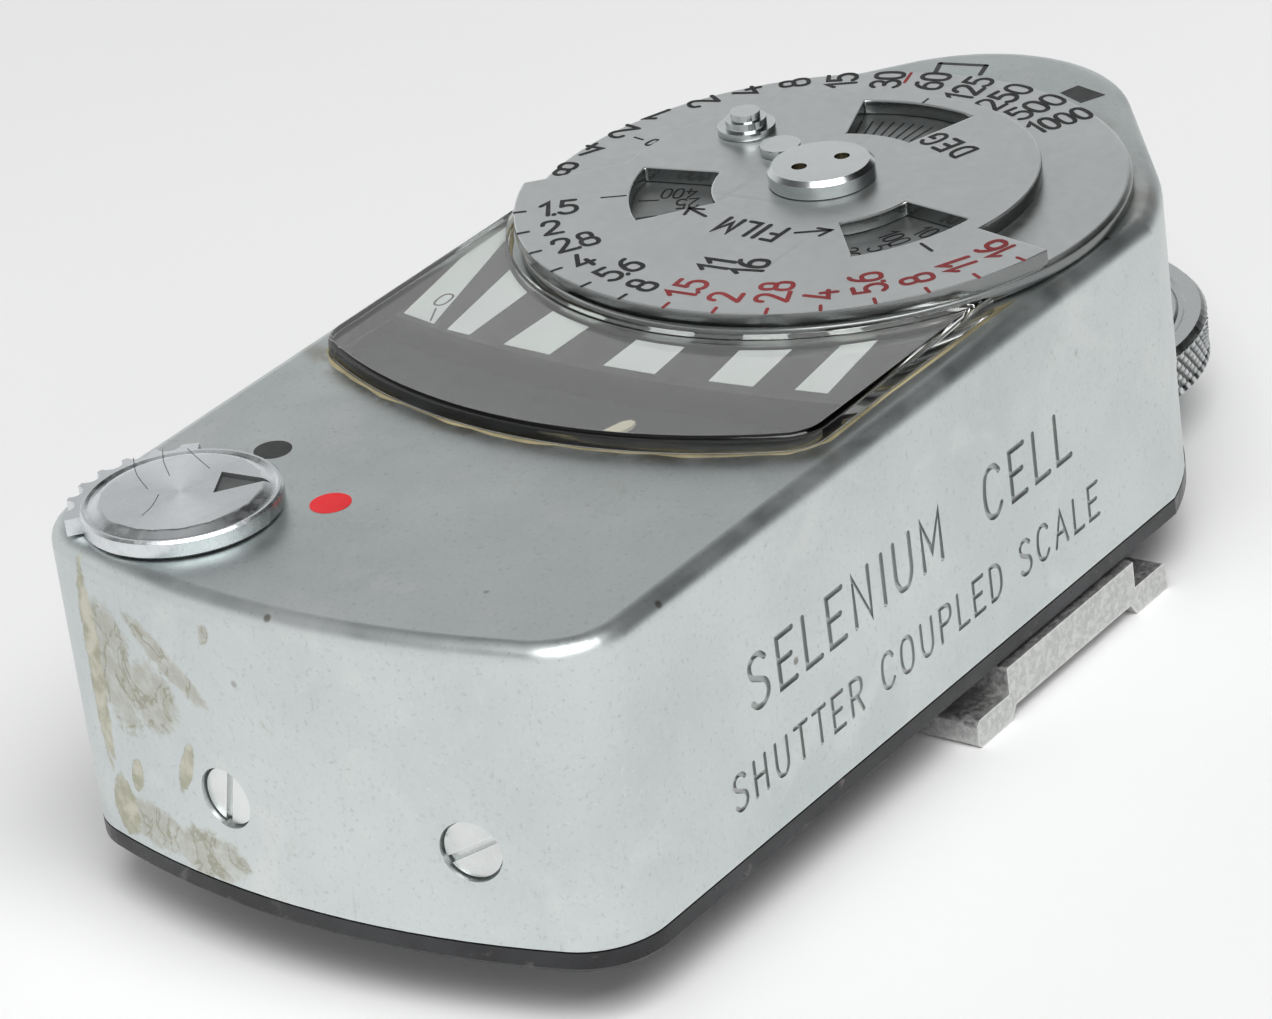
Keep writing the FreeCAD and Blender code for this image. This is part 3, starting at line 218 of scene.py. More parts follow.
def metal(name, colour, rough, grain=0.25, mottle=0.06, edge_highlight=0.0, bump=0.3, polished_shaded_sides=0.0):
    """Plated or turned metal: mottled tone, fine grain and scattered hairline marks, with optional painted
    highlights on convex edges and painted shade on upright sides.
    """
    t = Tree(name)
    broad = t.noise(90, 4, 0.6)
    fine = t.noise(1600, 3, 0.6)
    dark = [c * (1 - mottle * 2.2) for c in colour]
    lite = [min(1.0, c * (1 + mottle)) for c in colour]
    tone = t.mix(t.span(broad, 0.3, 0.7), dark, lite)
    marks = t.noise(420, 2, 0.5, stretch=((0.12, 2.6, 1.0), (0, 0, 0.6)))
    marks = t.span(marks, 0.69, 0.76)
    other = t.noise(380, 2, 0.5, stretch=((2.4, 0.14, 1.0), (0, 0, 0.35)))
    marks = t.math("MAXIMUM", marks, t.span(other, 0.70, 0.77))
    tone = t.lay(tone, marks, grain, [c * 0.45 for c in colour])
    # Painted highlight: a lighter tone laid along convex edges.
    if edge_highlight:
        tone = t.lay(tone, t.edge(0.12), edge_highlight, [min(1.0, c * 1.35) for c in colour])
    roughness = t.span(t.math("ADD", t.times(broad, 0.6), t.times(fine, 0.4)),
                       0.3, 0.7, rough * 0.86, rough * 1.14)
    # Upright sides: polished to lower roughness, and darkened with painted shade.
    if polished_shaded_sides:
        upright = t.span(t.facing(), 0.9, 0.3)
        roughness = t.times(roughness, t.math("SUBTRACT", 1.0, t.times(upright, 0.4)))
        tone = t.lay(tone, upright, polished_shaded_sides, [c * 0.2 for c in colour])
    return t.done(tone, 1.0, roughness, t.bump(fine, bump, 0.012, t.bump(marks, 0.25, -0.01)))


def plain(name, colour, rough, vary=0.25, spec=0.5):
    """Paint, lacquer, moulding or laminate with fine variation."""
    t = Tree(name)
    broad = t.noise(130, 4, 0.6)
    fine = t.noise(900, 3, 0.55)
    tone = t.mix(t.span(broad, 0.3, 0.7), [c * (1 - vary) for c in colour],
                 [min(1.0, c * (1 + vary * 0.6)) for c in colour])
    tone = t.lay(tone, t.span(fine, 0.55, 0.75), 0.3, [min(1.0, c * 1.3 + 0.01) for c in colour])
    return t.done(tone, 0.0, t.span(fine, 0.3, 0.7, rough * 0.85, rough * 1.15), t.bump(fine, 0.3, 0.01),
                  Specular_IOR_Level=spec)


def cover_metal():
    """Satin chrome with handling marks, painted shade round the window's foot and beside the dials' rim, and
    dried adhesive at one corner.
    """
    t = Tree("satin_chrome")
    x, y, z = t.axis("X"), t.axis("Y"), t.axis("Z")
    broad = t.noise(60, 5, 0.62)
    cloud = t.noise(190, 4, 0.6, distort=0.6)
    fine = t.noise(3600, 3, 0.65)
    pits = t.noise(5200, 2, 0.6)
    tone = t.mix(t.span(broad, 0.28, 0.72), (0.545, 0.592, 0.588), (0.64, 0.682, 0.674))
    tone = t.lay(tone, t.span(cloud, 0.52, 0.72), 0.35, (0.78, 0.79, 0.78))
    tone = t.lay(tone, t.span(fine, 0.55, 0.78), 0.55, (0.38, 0.40, 0.40))
    tone = t.lay(tone, t.span(pits, 0.58, 0.78), 0.35, (0.80, 0.81, 0.80))
    speck = t.times(t.span(t.cells(330), 0.09, 0.04), t.span(t.noise(130, 2), 0.56, 0.62))
    tone = t.lay(tone, speck, 0.75, (0.16, 0.14, 0.12))
    scratch = t.span(t.noise(300, 2, 0.5, stretch=((0.09, 3.0, 0.4), (0, 0.2, 0.5))), 0.71, 0.76)
    scuff = t.span(t.noise(260, 2, 0.5, stretch=((2.6, 0.6, 0.12), (0.4, 0, 0.2))), 0.72, 0.77)
    lines = t.math("MAXIMUM", scratch, scuff)
    tone = t.lay(tone, lines, 0.14, (0.34, 0.34, 0.33))
    # Dried adhesive: a ridge down one corner, thin films with crusted outlines, a few solid patches.
    ragged = t.math("MULTIPLY_ADD", t.noise(620, 6, 0.75, distort=1.4), 1.3, -0.65)
    slow = t.math("MULTIPLY_ADD", t.noise(170, 3, 0.6, distort=0.8), 0.8, -0.4)
    ragged = t.math("ADD", ragged, slow)
    solid = t.blob((-39.6, 12.9, 14.2), (2.8, 0.85, 7.4), 0.02)
    for centre, radii, turn in (((-40.9, 6.75, 10.4), (1.6, 0.62, 2.3), 0.4),
                                ((-40.3, 10.9, 8.6), (1.6, 0.6, 1.3), 0.3),
                                ((-39.9, 12.4, 6.3), (2.0, 1.3, 2.2), 0.0)):
        solid = t.math("MAXIMUM", solid, t.blob(centre, radii, turn))
    thin = t.blob((-40.0, 11.2, 14.6), (2.6, 2.3, 4.6), -0.1)
    for centre, radii, turn in (((-40.6, 8.6, 13.8), (2.2, 2.6, 2.4), 0.5),
                                ((-40.8, 7.2, 16.2), (2.0, 4.4, 0.9), 0.62),
                                ((-41.0, 6.2, 5.7), (1.8, 3.2, 1.9), 0.0),
                                ((-40.4, 9.6, 6.0), (2.0, 3.4, 1.6), 0.0),
                                ((-41.1, 3.9, 18.4), (0.8, 0.5, 0.9), 0.3)):
        thin = t.math("MAXIMUM", thin, t.blob(centre, radii, turn))
    solid = t.math("ADD", solid, t.times(ragged, 0.55))
    region = t.span(t.math("ADD", thin, t.times(ragged, 0.7)), 0.12, 0.42)
    glue = t.span(solid, 0.22, 0.34)
    veins = t.math("ABSOLUTE", t.math("SUBTRACT", t.noise(300, 4, 0.6, distort=1.2), 0.5))
    veins = t.times(t.span(veins, 0.035, 0.008), region)
    grainy = t.times(region, t.span(t.noise(1100, 4, 0.7), 0.32, 0.62))
    crust = t.mix(t.span(t.noise(900, 4, 0.6), 0.35, 0.65), (0.36, 0.35, 0.25), (0.56, 0.55, 0.45))
    tone = t.lay(tone, region, 0.42, (0.50, 0.49, 0.42))
    tone = t.lay(tone, grainy, 0.55, (0.40, 0.39, 0.32))
    tone = t.lay(tone, veins, 0.6, (0.30, 0.29, 0.20))
    tone = t.lay(tone, glue, 0.9, crust)
    glue = t.math("MAXIMUM", glue, t.times(grainy, 0.45))
    # Painted shade, brownish and patchy, in the crease along the window's foot and on the lip beside the
    # dials.
    wx = t.math("SUBTRACT", x, DX * MM)
    reach = t.reach(wx, y)
    near = t.times(t.span(reach, 0.0296, 0.0283), t.span(reach, 0.0276, 0.0281))
    near = t.times(near, t.span(x, -0.0165, -0.0185))
    near = t.times(near, t.span(z, 0.0199, 0.0203))
    near = t.times(near, t.span(t.noise(330, 4, 0.65), 0.35, 0.6))
    tone = t.lay(tone, near, 0.75, (0.24, 0.21, 0.13))
    # Painted shade on the cover's lip beside the dials' rim.
    rim = t.times(t.span(reach, 0.0177, 0.0168), t.span(z, 0.0199, 0.0203))
    rim = t.times(rim, t.span(t.noise(210, 4, 0.6), 0.4, 0.7))
    tone = t.lay(tone, rim, 0.5, (0.30, 0.26, 0.2))
    rough = t.span(cloud, 0.3, 0.7, 0.36, 0.46)
    rough = t.math("ADD", rough, t.times(glue, 0.3))
    bare = t.math("SUBTRACT", 1.0, t.times(glue, 0.95))
    wear = t.bump(fine, 0.22, 0.012)
    wear = t.bump(pits, 0.16, 0.008, wear)
    wear = t.bump(lines, 0.12, -0.01, wear)
    wear = t.bump(glue, 0.7, 0.05, wear)
    return t.done(tone, bare, rough, wear)


def clear_plastic(name, colour, rough, scratches=0.5):
    t = Tree(name)
    fine = t.noise(500, 3, 0.6)
    lines = t.span(t.noise(500, 2, 0.5, stretch=((0.15, 3.0, 1.0), (0, 0, 1.1))), 0.70, 0.76)
    tone = t.mix(t.span(fine, 0.35, 0.65), [c * 0.985 for c in colour], colour)
    t.set(Base_Color=tone, Metallic=0.0, IOR=1.49, Transmission_Weight=1.0, Specular_IOR_Level=0.32,
          Roughness=t.math("ADD", t.span(fine, 0.3, 0.7, rough * 0.6, rough * 1.6),
                           t.times(lines, 0.12 * scratches)),
          Normal=t.bump(lines, 0.1 * scratches, -0.004))
    return t.mat


def knob_metal():
    """Face-turned chrome: the tool marks run round the axis."""
    t = Tree("turned_chrome")
    x = t.math("SUBTRACT", t.axis("X"), KNOB.x * MM)
    y = t.math("SUBTRACT", t.axis("Y"), KNOB.y * MM)
    reach = t.reach(x, y)
    rings = t.math("SINE", t.times(reach, 60000.0))
    fine = t.noise(1400, 3, 0.6)
    stain = t.noise(420, 4, 0.65, distort=0.5)
    tone = t.mix(t.span(fine, 0.3, 0.7), (0.64, 0.67, 0.68), (0.74, 0.77, 0.78))
    outer = t.times(t.span(stain, 0.64, 0.74), t.span(reach, 0.003, 0.0054))
    tone = t.lay(tone, outer, 0.6, (0.24, 0.21, 0.18))
    tangent = t.new("CombineXYZ")
    t.put(tangent.inputs[0], t.times(y, -1.0))
    t.put(tangent.inputs[1], x)
    return t.done(tone, 1.0, t.span(fine, 0.3, 0.7, 0.2, 0.3), t.bump(rings, 0.03, 0.002),
                  Tangent=tangent.outputs[0], Anisotropic=0.7)


def knurled_metal():
    """Bright knurled crests over grooves darkened with painted shade."""
    t = Tree("knurled_chrome")
    x = t.math("SUBTRACT", t.axis("X"), WHEEL.x * MM)
    y = t.axis("Y")
    reach = t.reach(x, y)
    fine = t.noise(1500, 3, 0.6)
    tone = t.mix(t.span(fine, 0.3, 0.7), (0.50, 0.53, 0.53), (0.64, 0.66, 0.66))
    # Painted shade darkening the flanks of the knurl's grooves.
    knurl_groove_shade = t.times(t.span(reach, 0.01072, 0.01058), t.span(t.facing(), 0.9, 0.6))
    tone = t.lay(tone, knurl_groove_shade, 0.85, (0.10, 0.10, 0.095))
    return t.done(tone, 1.0, t.span(fine, 0.3, 0.7, 0.25, 0.38), t.bump(fine, 0.2, 0.01))


def pearl():
    t = Tree("pearl_enamel")
    hue = t.noise(150, 3, 0.5)
    speck = t.span(t.cells(520), 0.10, 0.05)
    speck = t.times(speck, t.span(t.noise(240, 2), 0.55, 0.6))
    tone = t.mix(t.span(hue, 0.35, 0.65), (0.87, 0.96, 0.93), (0.90, 0.96, 0.98))
    tone = t.lay(tone, speck, 0.6, (0.3, 0.33, 0.3))
    return t.done(tone, 0.0, t.span(hue, 0.3, 0.7, 0.3, 0.45), t.bump(t.noise(900, 2), 0.15, 0.006))


def scale_paint():
    """Dark grey paint, with painted shade on the sunken floor."""
    t = Tree("dark_grey_scale")
    fine = t.noise(900, 3, 0.6)
    broad = t.noise(140, 4, 0.6)
    # Painted shade: the floor below the stripes' step gets darker with depth.
    sunken_shade = t.span(t.axis("Z"), (STRIPE_TOP - 0.2) * MM, (STRIPE_TOP - 0.9) * MM)
    tone = t.mix(t.span(broad, 0.3, 0.7), (0.036, 0.041, 0.040), (0.050, 0.056, 0.055))
    tone = t.lay(tone, sunken_shade, 0.8, (0.018, 0.024, 0.025))
    return t.done(tone, 0.0, t.span(fine, 0.3, 0.7, 0.42, 0.6), t.bump(fine, 0.2, 0.01),
                  Specular_IOR_Level=0.3)


def black_lacquer():
    """Black lacquer with scattered grey rubbed chips."""
    t = Tree("black_lacquer")
    broad = t.noise(140, 4, 0.6)
    fine = t.noise(1300, 3, 0.6)
    tone = t.mix(t.span(broad, 0.3, 0.7), (0.010, 0.010, 0.011), (0.03, 0.031, 0.033))
    chips = t.span(t.noise(620, 4, 0.65), 0.6, 0.7)
    tone = t.lay(tone, chips, 0.35, (0.18, 0.17, 0.15))
    return t.done(tone, 0.0, t.span(fine, 0.3, 0.7, 0.26, 0.4), t.bump(fine, 0.3, 0.01),
                  Specular_IOR_Level=0.35)


def blasted():
    """Bead-blasted alloy, grey in the pits, with painted highlights on its convex corners."""
    t = Tree("blasted_alloy")
    grit = t.noise(3400, 3, 0.65)
    patch = t.noise(230, 4, 0.6)
    tone = t.mix(t.span(grit, 0.35, 0.68), (0.50, 0.51, 0.50), (0.70, 0.705, 0.69))
    tone = t.lay(tone, t.span(patch, 0.55, 0.8), 0.12, (0.32, 0.31, 0.29))
    # Painted highlight along the convex corners.
    tone = t.lay(tone, t.edge(0.25), 0.7, (0.82, 0.82, 0.80))
    return t.done(tone, 1.0, t.span(grit, 0.3, 0.7, 0.42, 0.6), t.bump(grit, 0.7, 0.03))


SATIN = cover_metal()
DISC = metal("satin_disc", (0.62, 0.645, 0.64), 0.37, grain=0.1, mottle=0.05, edge_highlight=0.5,
             bump=0.25, polished_shaded_sides=0.8)
BRIGHT = metal("bright_chrome", (0.58, 0.61, 0.61), 0.22, grain=0.1, mottle=0.05, edge_highlight=0.4,
               bump=0.15, polished_shaded_sides=0.25)
# Painted shade for the bare-metal grooves of the engraved letters.
LETTER_SHADE = metal("engraved_letter_shade", (0.45, 0.475, 0.47), 0.45, bump=0.4)
SCREW = metal("screw_plating", (0.70, 0.72, 0.71), 0.28, grain=0.5, mottle=0.12, edge_highlight=0.4, bump=0.5)
SHADED = metal("shaded_disc", (0.36, 0.38, 0.375), 0.45, grain=0.1)
TURNED = knob_metal()
PEARL = pearl()
KNURLED = knurled_metal()
BLACK_INK = plain("black_fill", (0.014, 0.015, 0.016), 0.55, spec=0.25)
GREY_INK = plain("worn_black_fill", (0.05, 0.05, 0.052), 0.5)
RED_INK = plain("red_fill", (0.22, 0.022, 0.024), 0.55, spec=0.25)
RED_DOT = plain("red_enamel", (0.62, 0.012, 0.016), 0.45, spec=0.25)
BLACK_DOT = plain("black_enamel", (0.022, 0.024, 0.024), 0.45, spec=0.3)
DEEP = plain("engraving_shade", (0.10, 0.105, 0.105), 0.6)
RESIDUE = plain("yellow_residue", (0.30, 0.26, 0.15), 0.55, vary=0.5)
BY_SLOT = {
    "cover": SATIN,
    "black_base": black_lacquer(),
    "foot": blasted(),
    "chrome": BRIGHT,
    "satin": DISC,
    "clear": clear_plastic("clear_acrylic", (0.985, 0.985, 0.965), 0.03),
    "dark": scale_paint(),
    "brass": metal("turned_brass", (0.72, 0.52, 0.24), 0.3, mottle=0.1),
    "steel": metal("plain_steel", (0.52, 0.52, 0.52), 0.32, mottle=0.1),
    "cream": plain("cream_enamel", (0.80, 0.76, 0.58), 0.4, vary=0.1),
    "copper": metal("enamelled_copper", (0.70, 0.33, 0.18), 0.35, mottle=0.12),
    "magnet": metal("magnet_alloy", (0.24, 0.24, 0.25), 0.55, mottle=0.2, bump=0.6),
    "selenium": metal("selenium_layer", (0.16, 0.13, 0.16), 0.3, mottle=0.25),
    "phenolic": plain("brown_laminate", (0.20, 0.10, 0.055), 0.5, vary=0.35),
    "ruby": clear_plastic("ruby", (0.62, 0.05, 0.10), 0.02, 0.0),
    "black_plastic": plain("black_moulding", (0.03, 0.03, 0.032), 0.45),
    "wire": plain("red_insulation", (0.42, 0.06, 0.05), 0.5),
}
for node_name, obj in NODES.items():
    obj.data.materials.clear()
    obj.data.materials.append(SCREW if node_name == "end_screws" else BY_SLOT[SLOT_OF[node_name]])


# ---------------------------------------------------------------- mesh helpers

def place(name, data):
    obj = bpy.data.objects.new(name, data)
    bpy.context.scene.collection.objects.link(obj)
    return obj


def to_mesh(name, bm, mats=()):
    """A mesh in metres from a bmesh in millimetres, which it uses up."""
    mesh = bpy.data.meshes.new(name)
    bm.to_mesh(mesh)
    bm.free()
    mesh.transform(Matrix.Scale(MM, 4))
    for mat in mats:
        mesh.materials.append(mat)
    return mesh


def even_normals(mesh, smooth, rule=None):
    """Shades each corner by the area-weighted normal of its smooth neighbours, or by a rule."""
    limit = math.cos(math.radians(smooth))
    touching = [[] for _ in mesh.vertices]
    for poly in mesh.polygons:
        for v in poly.vertices:
            touching[v].append((poly.normal.copy(), poly.area))
    out = []
    for poly in mesh.polygons:
        for v in poly.vertices:
            given = rule(mesh.vertices[v].co / MM, poly.normal) if rule else None
            if given is None:
                given = Vector()
                for n, area in touching[v]:
                    if n.dot(poly.normal) > limit:
                        given = given + n * area
                if given.length < 1e-12:
                    given = poly.normal.copy()
            out.append(given.normalized())
    mesh.normals_split_custom_set(out)


def finish_piece(name, bm, mats, body, smooth=30.0, weighted=False):
    """Makes an object from a bmesh in millimetres and puts it on its body."""
    bmesh.ops.recalc_face_normals(bm, faces=bm.faces)
    mesh = to_mesh(name, bm, mats)
    for poly in mesh.polygons:
        poly.use_smooth = True
    mesh.set_sharp_from_angle(angle=math.radians(smooth))
    obj = place(name, mesh)
    if weighted:
        even_normals(mesh, smooth)
    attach(obj, body)
    return obj


def cad_copy(node):
    """A node's mesh as a welded bmesh in millimetres."""
    bm = bmesh.new()
    bm.from_mesh(NODES[node].data)
    bmesh.ops.scale(bm, vec=(1 / MM,) * 3, verts=bm.verts)
    bmesh.ops.remove_doubles(bm, verts=bm.verts, dist=1e-4)
    return bm


def carve(obj, cutter_bm, mats):
    """Cuts a bmesh in millimetres out of an object, for good."""
    bmesh.ops.recalc_face_normals(cutter_bm, faces=cutter_bm.faces)
    tool = place("cutter", to_mesh("cutter", cutter_bm, mats))
    mod = obj.modifiers.new("Carve", "BOOLEAN")
    mod.operation = "DIFFERENCE"
    mod.solver = "EXACT"
    mod.use_self = True
    mod.object = tool
    bpy.context.view_layer.update()
    with bpy.context.temp_override(object=obj, active_object=obj, selected_objects=[obj]):
        bpy.ops.object.modifier_apply(modifier="Carve")
    bpy.data.objects.remove(tool)


def bridge(bm, ring_a, ring_b, mat=0):
    count = len(ring_a)
    for i in range(count):
        j = (i + 1) % count
        face = bm.faces.new((ring_a[i], ring_a[j], ring_b[j], ring_b[i]))
        face.material_index = mat


def bridge_all(bm, rings, flip=False):
    for a, b in zip(rings[:-1], rings[1:]):
        bridge(bm, *((b, a) if flip else (a, b)))


def lathe(bm, centre, profile, steps=96, mat=0):
    """Turns (radius, height) points about an upright axis; a zero radius closes the end."""
    rings = []
    for r, z in profile:
        if r < 1e-6:
            rings.append([bm.verts.new((centre[0], centre[1], z))])
        else:
            rings.append([bm.verts.new((centre[0] + r * math.cos(2 * math.pi * i / steps),
                                        centre[1] + r * math.sin(2 * math.pi * i / steps), z))
                          for i in range(steps)])
    for a, b in zip(rings[:-1], rings[1:]):
        if len(a) == 1 or len(b) == 1:
            tip, loop = (a[0], b) if len(a) == 1 else (b[0], a)
            for i in range(steps):
                face = bm.faces.new((tip, loop[i], loop[(i + 1) % steps]))
                face.material_index = mat
        else:
            bridge(bm, a, b, mat)


class Sheet:
    """A plane to draw on: an origin, two directions and the way out, in millimetres."""

    def __init__(self, origin, across, up):
        self.origin = Vector(origin)
        self.across = Vector(across).normalized()
        self.up = Vector(up).normalized()
        self.out = self.across.cross(self.up)

    def point(self, u, v, n=0.0):
        return self.origin + self.across * u + self.up * v + self.out * n


def flat(x, y, z):
    """A level sheet with its directions along X and Y."""
    return Sheet((x, y, z), (1, 0, 0), (0, 1, 0))


def radial(angle, radius, height, inward):
    """A sheet on a dial face at an angle, reading inward or outward."""
    a = math.radians(angle)
    way = Vector((math.cos(a), math.sin(a), 0.0))
    origin = Vector((DX, 0.0, height)) + way * radius
    across = -way if inward else way
    return Sheet(origin, across, Vector((0, 0, 1)).cross(across))


def slab(bm, sheet, outline, n0, n1, mat=0):
    """A flat shape with thickness from one polygon."""
    lower = [bm.verts.new(sheet.point(u, v, n0)) for u, v in outline]
    upper = [bm.verts.new(sheet.point(u, v, n1)) for u, v in outline]
    bm.faces.new(lower).material_index = mat
    bm.faces.new(list(reversed(upper))).material_index = mat
    bridge(bm, upper, lower, mat)


def smooth_run(points, closed=False, steps=5):
    """Points along a curve that passes through the given ones."""
    count = len(points)
    out = []
    for i in range(count if closed else count - 1):
        p = [points[(i + k) % count] if closed else points[min(max(i + k, 0), count - 1)]
             for k in (-1, 0, 1, 2)]
        for s in range(steps):
            t = s / steps
            out.append(tuple(
                0.5 * (2 * p[1][c] + (p[2][c] - p[0][c]) * t
                       + (2 * p[0][c] - 5 * p[1][c] + 4 * p[2][c] - p[3][c]) * t * t
                       + (3 * p[1][c] - p[0][c] - 3 * p[2][c] + p[3][c]) * t ** 3)
                for c in (0, 1)))
    if not closed:
        out.append(tuple(points[-1]))
    return out


def stroke(bm, sheet, run, half, n0, n1, closed=False, mat=0):
    """A round-ended line of even width along a run of points."""
    pts = [Vector(p) for p in run]
    count = len(pts)
    left, right = [], []
    for i, p in enumerate(pts):
        before = pts[i - 1] if closed or i else None
        after = pts[(i + 1) % count] if closed or i < count - 1 else None
        d0 = (p - before).normalized() if before is not None else (after - p).normalized()
        d1 = (after - p).normalized() if after is not None else d0
        way = (d0 + d1).normalized()
        reach = half / max(0.45, way.dot(d0))
        side = Vector((-way.y, way.x)) * reach
        left.append(p + side)
        right.append(p - side)
    if closed:
        rims = [[bm.verts.new(sheet.point(*p, n)) for p in line]
                for line, n in ((left, n0), (left, n1), (right, n1), (right, n0))]
        for a in range(4):
            bridge(bm, rims[a], rims[(a + 1) % 4], mat)
        return
    caps = []
    for end, way in ((pts[-1], (pts[-1] - pts[-2]).normalized()), (pts[0], (pts[0] - pts[1]).normalized())):
        start = math.atan2(way.y, way.x) + math.pi / 2
        turns = [start - math.pi * k / 5 for k in range(1, 5)]
        caps.append([end + Vector((math.cos(a), math.sin(a))) * half for a in turns])
    ring = left + caps[0] + list(reversed(right)) + caps[1]
    slab(bm, sheet, [tuple(p) for p in ring], n0, n1, mat)


def oval(cx, cy, rx, ry, count=14):
    out = []
    for i in range(count):
        a = 2 * math.pi * i / count
        c, s = math.cos(a), math.sin(a)
        out.append((cx + rx * math.copysign(abs(c) ** 0.8, c), cy + ry * math.copysign(abs(s) ** 0.8, s)))
    return out


# Single-line characters on a grid one unit high: (kind, points), then the advance.
# Kinds: "s" straight, "c" curved, "o" closed curve.
STEM = ("s", [(0.04, 0.0), (0.04, 1.0)])
BOWL = ("c", [(0.04, 1.0), (0.34, 1.0), (0.52, 0.88), (0.52, 0.62), (0.34, 0.5), (0.04, 0.5)])
OPEN_CURVE = [(0.55, 0.84), (0.42, 0.98), (0.24, 1.0), (0.08, 0.86), (0.02, 0.5), (0.08, 0.14), (0.24, 0.0),
              (0.42, 0.02)]
GLYPHS = {
    "0": ([("o", oval(0.28, 0.5, 0.26, 0.5))], 0.74),
    "1": ([("s", [(0.04, 0.76), (0.28, 1.0), (0.28, 0.0)])], 0.54),
    "2": ([("c", [(0.03, 0.76), (0.1, 0.94), (0.28, 1.0), (0.47, 0.93), (0.53, 0.74), (0.42, 0.5),
                  (0.02, 0.0)]), ("s", [(0.02, 0.0), (0.56, 0.0)])], 0.76),
    "3": ([("c", [(0.04, 0.86), (0.16, 0.98), (0.34, 1.0), (0.49, 0.9), (0.5, 0.7), (0.38, 0.56),
                  (0.2, 0.53)]),
           ("c", [(0.2, 0.53), (0.4, 0.5), (0.54, 0.36), (0.54, 0.16), (0.4, 0.02), (0.18, 0.0),
                  (0.02, 0.13)])], 0.76),
    "4": ([("s", [(0.36, 1.0), (0.02, 0.27), (0.58, 0.27)]), ("s", [(0.42, 0.5), (0.42, 0.0)])], 0.78),
    "5": ([("s", [(0.5, 1.0), (0.1, 1.0), (0.07, 0.56)]),
           ("c", [(0.07, 0.56), (0.24, 0.62), (0.43, 0.58), (0.55, 0.4), (0.53, 0.17), (0.38, 0.02),
                  (0.17, 0.0), (0.01, 0.12)])], 0.76),
    "6": ([("c", [(0.47, 0.97), (0.3, 0.92), (0.13, 0.72), (0.03, 0.4), (0.03, 0.28)]),
           ("o", oval(0.29, 0.3, 0.26, 0.3))], 0.78),
    "8": ([("o", oval(0.28, 0.76, 0.21, 0.24)), ("o", oval(0.28, 0.27, 0.27, 0.27))], 0.78),
    ".": ([("s", [(0.0, 0.0), (0.02, 0.02)])], 0.2),
    "A": ([("s", [(0.0, 0.0), (0.3, 1.0), (0.6, 0.0)]), ("s", [(0.11, 0.36), (0.49, 0.36)])], 0.82),
    "C": ([("c", OPEN_CURVE + [(0.55, 0.16)])], 0.8),
    "D": ([STEM,
           ("c", [(0.04, 1.0), (0.3, 0.98), (0.5, 0.8), (0.55, 0.5), (0.5, 0.2), (0.3, 0.02),
                  (0.04, 0.0)])], 0.82),
    "E": ([("s", [(0.52, 1.0), (0.04, 1.0), (0.04, 0.0), (0.52, 0.0)]),
           ("s", [(0.04, 0.52), (0.42, 0.52)])], 0.74),
    "F": ([("s", [(0.5, 1.0), (0.04, 1.0), (0.04, 0.0)]), ("s", [(0.04, 0.52), (0.4, 0.52)])], 0.72),
    "G": ([("c", OPEN_CURVE + [(0.56, 0.16)]), ("s", [(0.56, 0.16), (0.56, 0.46), (0.34, 0.46)])], 0.84),
    "H": ([STEM, ("s", [(0.54, 0.0), (0.54, 1.0)]), ("s", [(0.04, 0.52), (0.54, 0.52)])], 0.84),
    "I": ([("s", [(0.05, 0.0), (0.05, 1.0)])], 0.36),
    "L": ([("s", [(0.04, 1.0), (0.04, 0.0), (0.5, 0.0)])], 0.68),
    "M": ([("s", [(0.04, 0.0), (0.04, 1.0), (0.34, 0.3), (0.64, 1.0), (0.64, 0.0)])], 0.96),
    "N": ([("s", [(0.04, 0.0), (0.04, 1.0), (0.54, 0.0), (0.54, 1.0)])], 0.84),
    "O": ([("o", oval(0.3, 0.5, 0.28, 0.5))], 0.84),
    "P": ([STEM, BOWL], 0.76),
    "R": ([STEM, BOWL, ("s", [(0.3, 0.5), (0.54, 0.0)])], 0.8),
    "S": ([("c", [(0.52, 0.86), (0.38, 0.98), (0.2, 0.99), (0.05, 0.86), (0.08, 0.64), (0.28, 0.52),
                  (0.48, 0.4), (0.54, 0.2), (0.42, 0.03), (0.2, 0.0), (0.03, 0.13)])], 0.78),
    "T": ([("s", [(0.0, 1.0), (0.56, 1.0)]), ("s", [(0.28, 1.0), (0.28, 0.0)])], 0.74),
    "U": ([("c", [(0.04, 1.0), (0.04, 0.6), (0.05, 0.25), (0.16, 0.04), (0.3, 0.0), (0.44, 0.04),
                  (0.55, 0.25), (0.56, 0.6), (0.56, 1.0)])], 0.82),
    " ": ([], 0.5),
}


def width_of(word, tall, spread=1.0):
    return (sum(GLYPHS[c][1] for c in word) - 0.2) * tall * spread


def write(bm, sheet, word, tall, half, n0=-0.02, n1=0.012, spread=1.0, mat=0, squeeze=1.0):
    """Draws a word whose lower left corner is the sheet's origin."""
    pen = 0.0
    for index, c in enumerate(word):
        strokes, advance = GLYPHS[c]
        for layer, (kind, points) in enumerate(strokes):
            closed = kind == "o"
            run = points if kind == "s" else smooth_run(points, closed, 4)
            run = [(pen + u * tall * squeeze, v * tall) for u, v in run]
            step = 0.003 * (layer + 3 * (index % 2))
            stroke(bm, sheet, run, half, n0 - step, n1 + step, closed, mat)
        pen += advance * tall * spread


def label(bm, angle, radius, height, word, tall, half, inward, end_at=False, mat=0, spread=1.0,
          squeeze=1.0):
    """A radial word whose centre line lies on the given angle."""
    sheet = radial(angle, radius, height, inward)
    start = -width_of(word, tall, spread) if end_at else 0.0
    sheet.origin = sheet.point(start, -tall / 2)
    write(bm, sheet, word, tall, half, mat=mat, spread=spread, squeeze=squeeze)


def tick(bm, angle, r0, r1, height, half, mat=0):
    sheet = radial(angle, r0, height, False)
    stroke(bm, sheet, [(0.0, 0.0), (r1 - r0, 0.0)], half, -0.02, 0.012, mat=mat)


# ---------------------------------------------------------------- cover

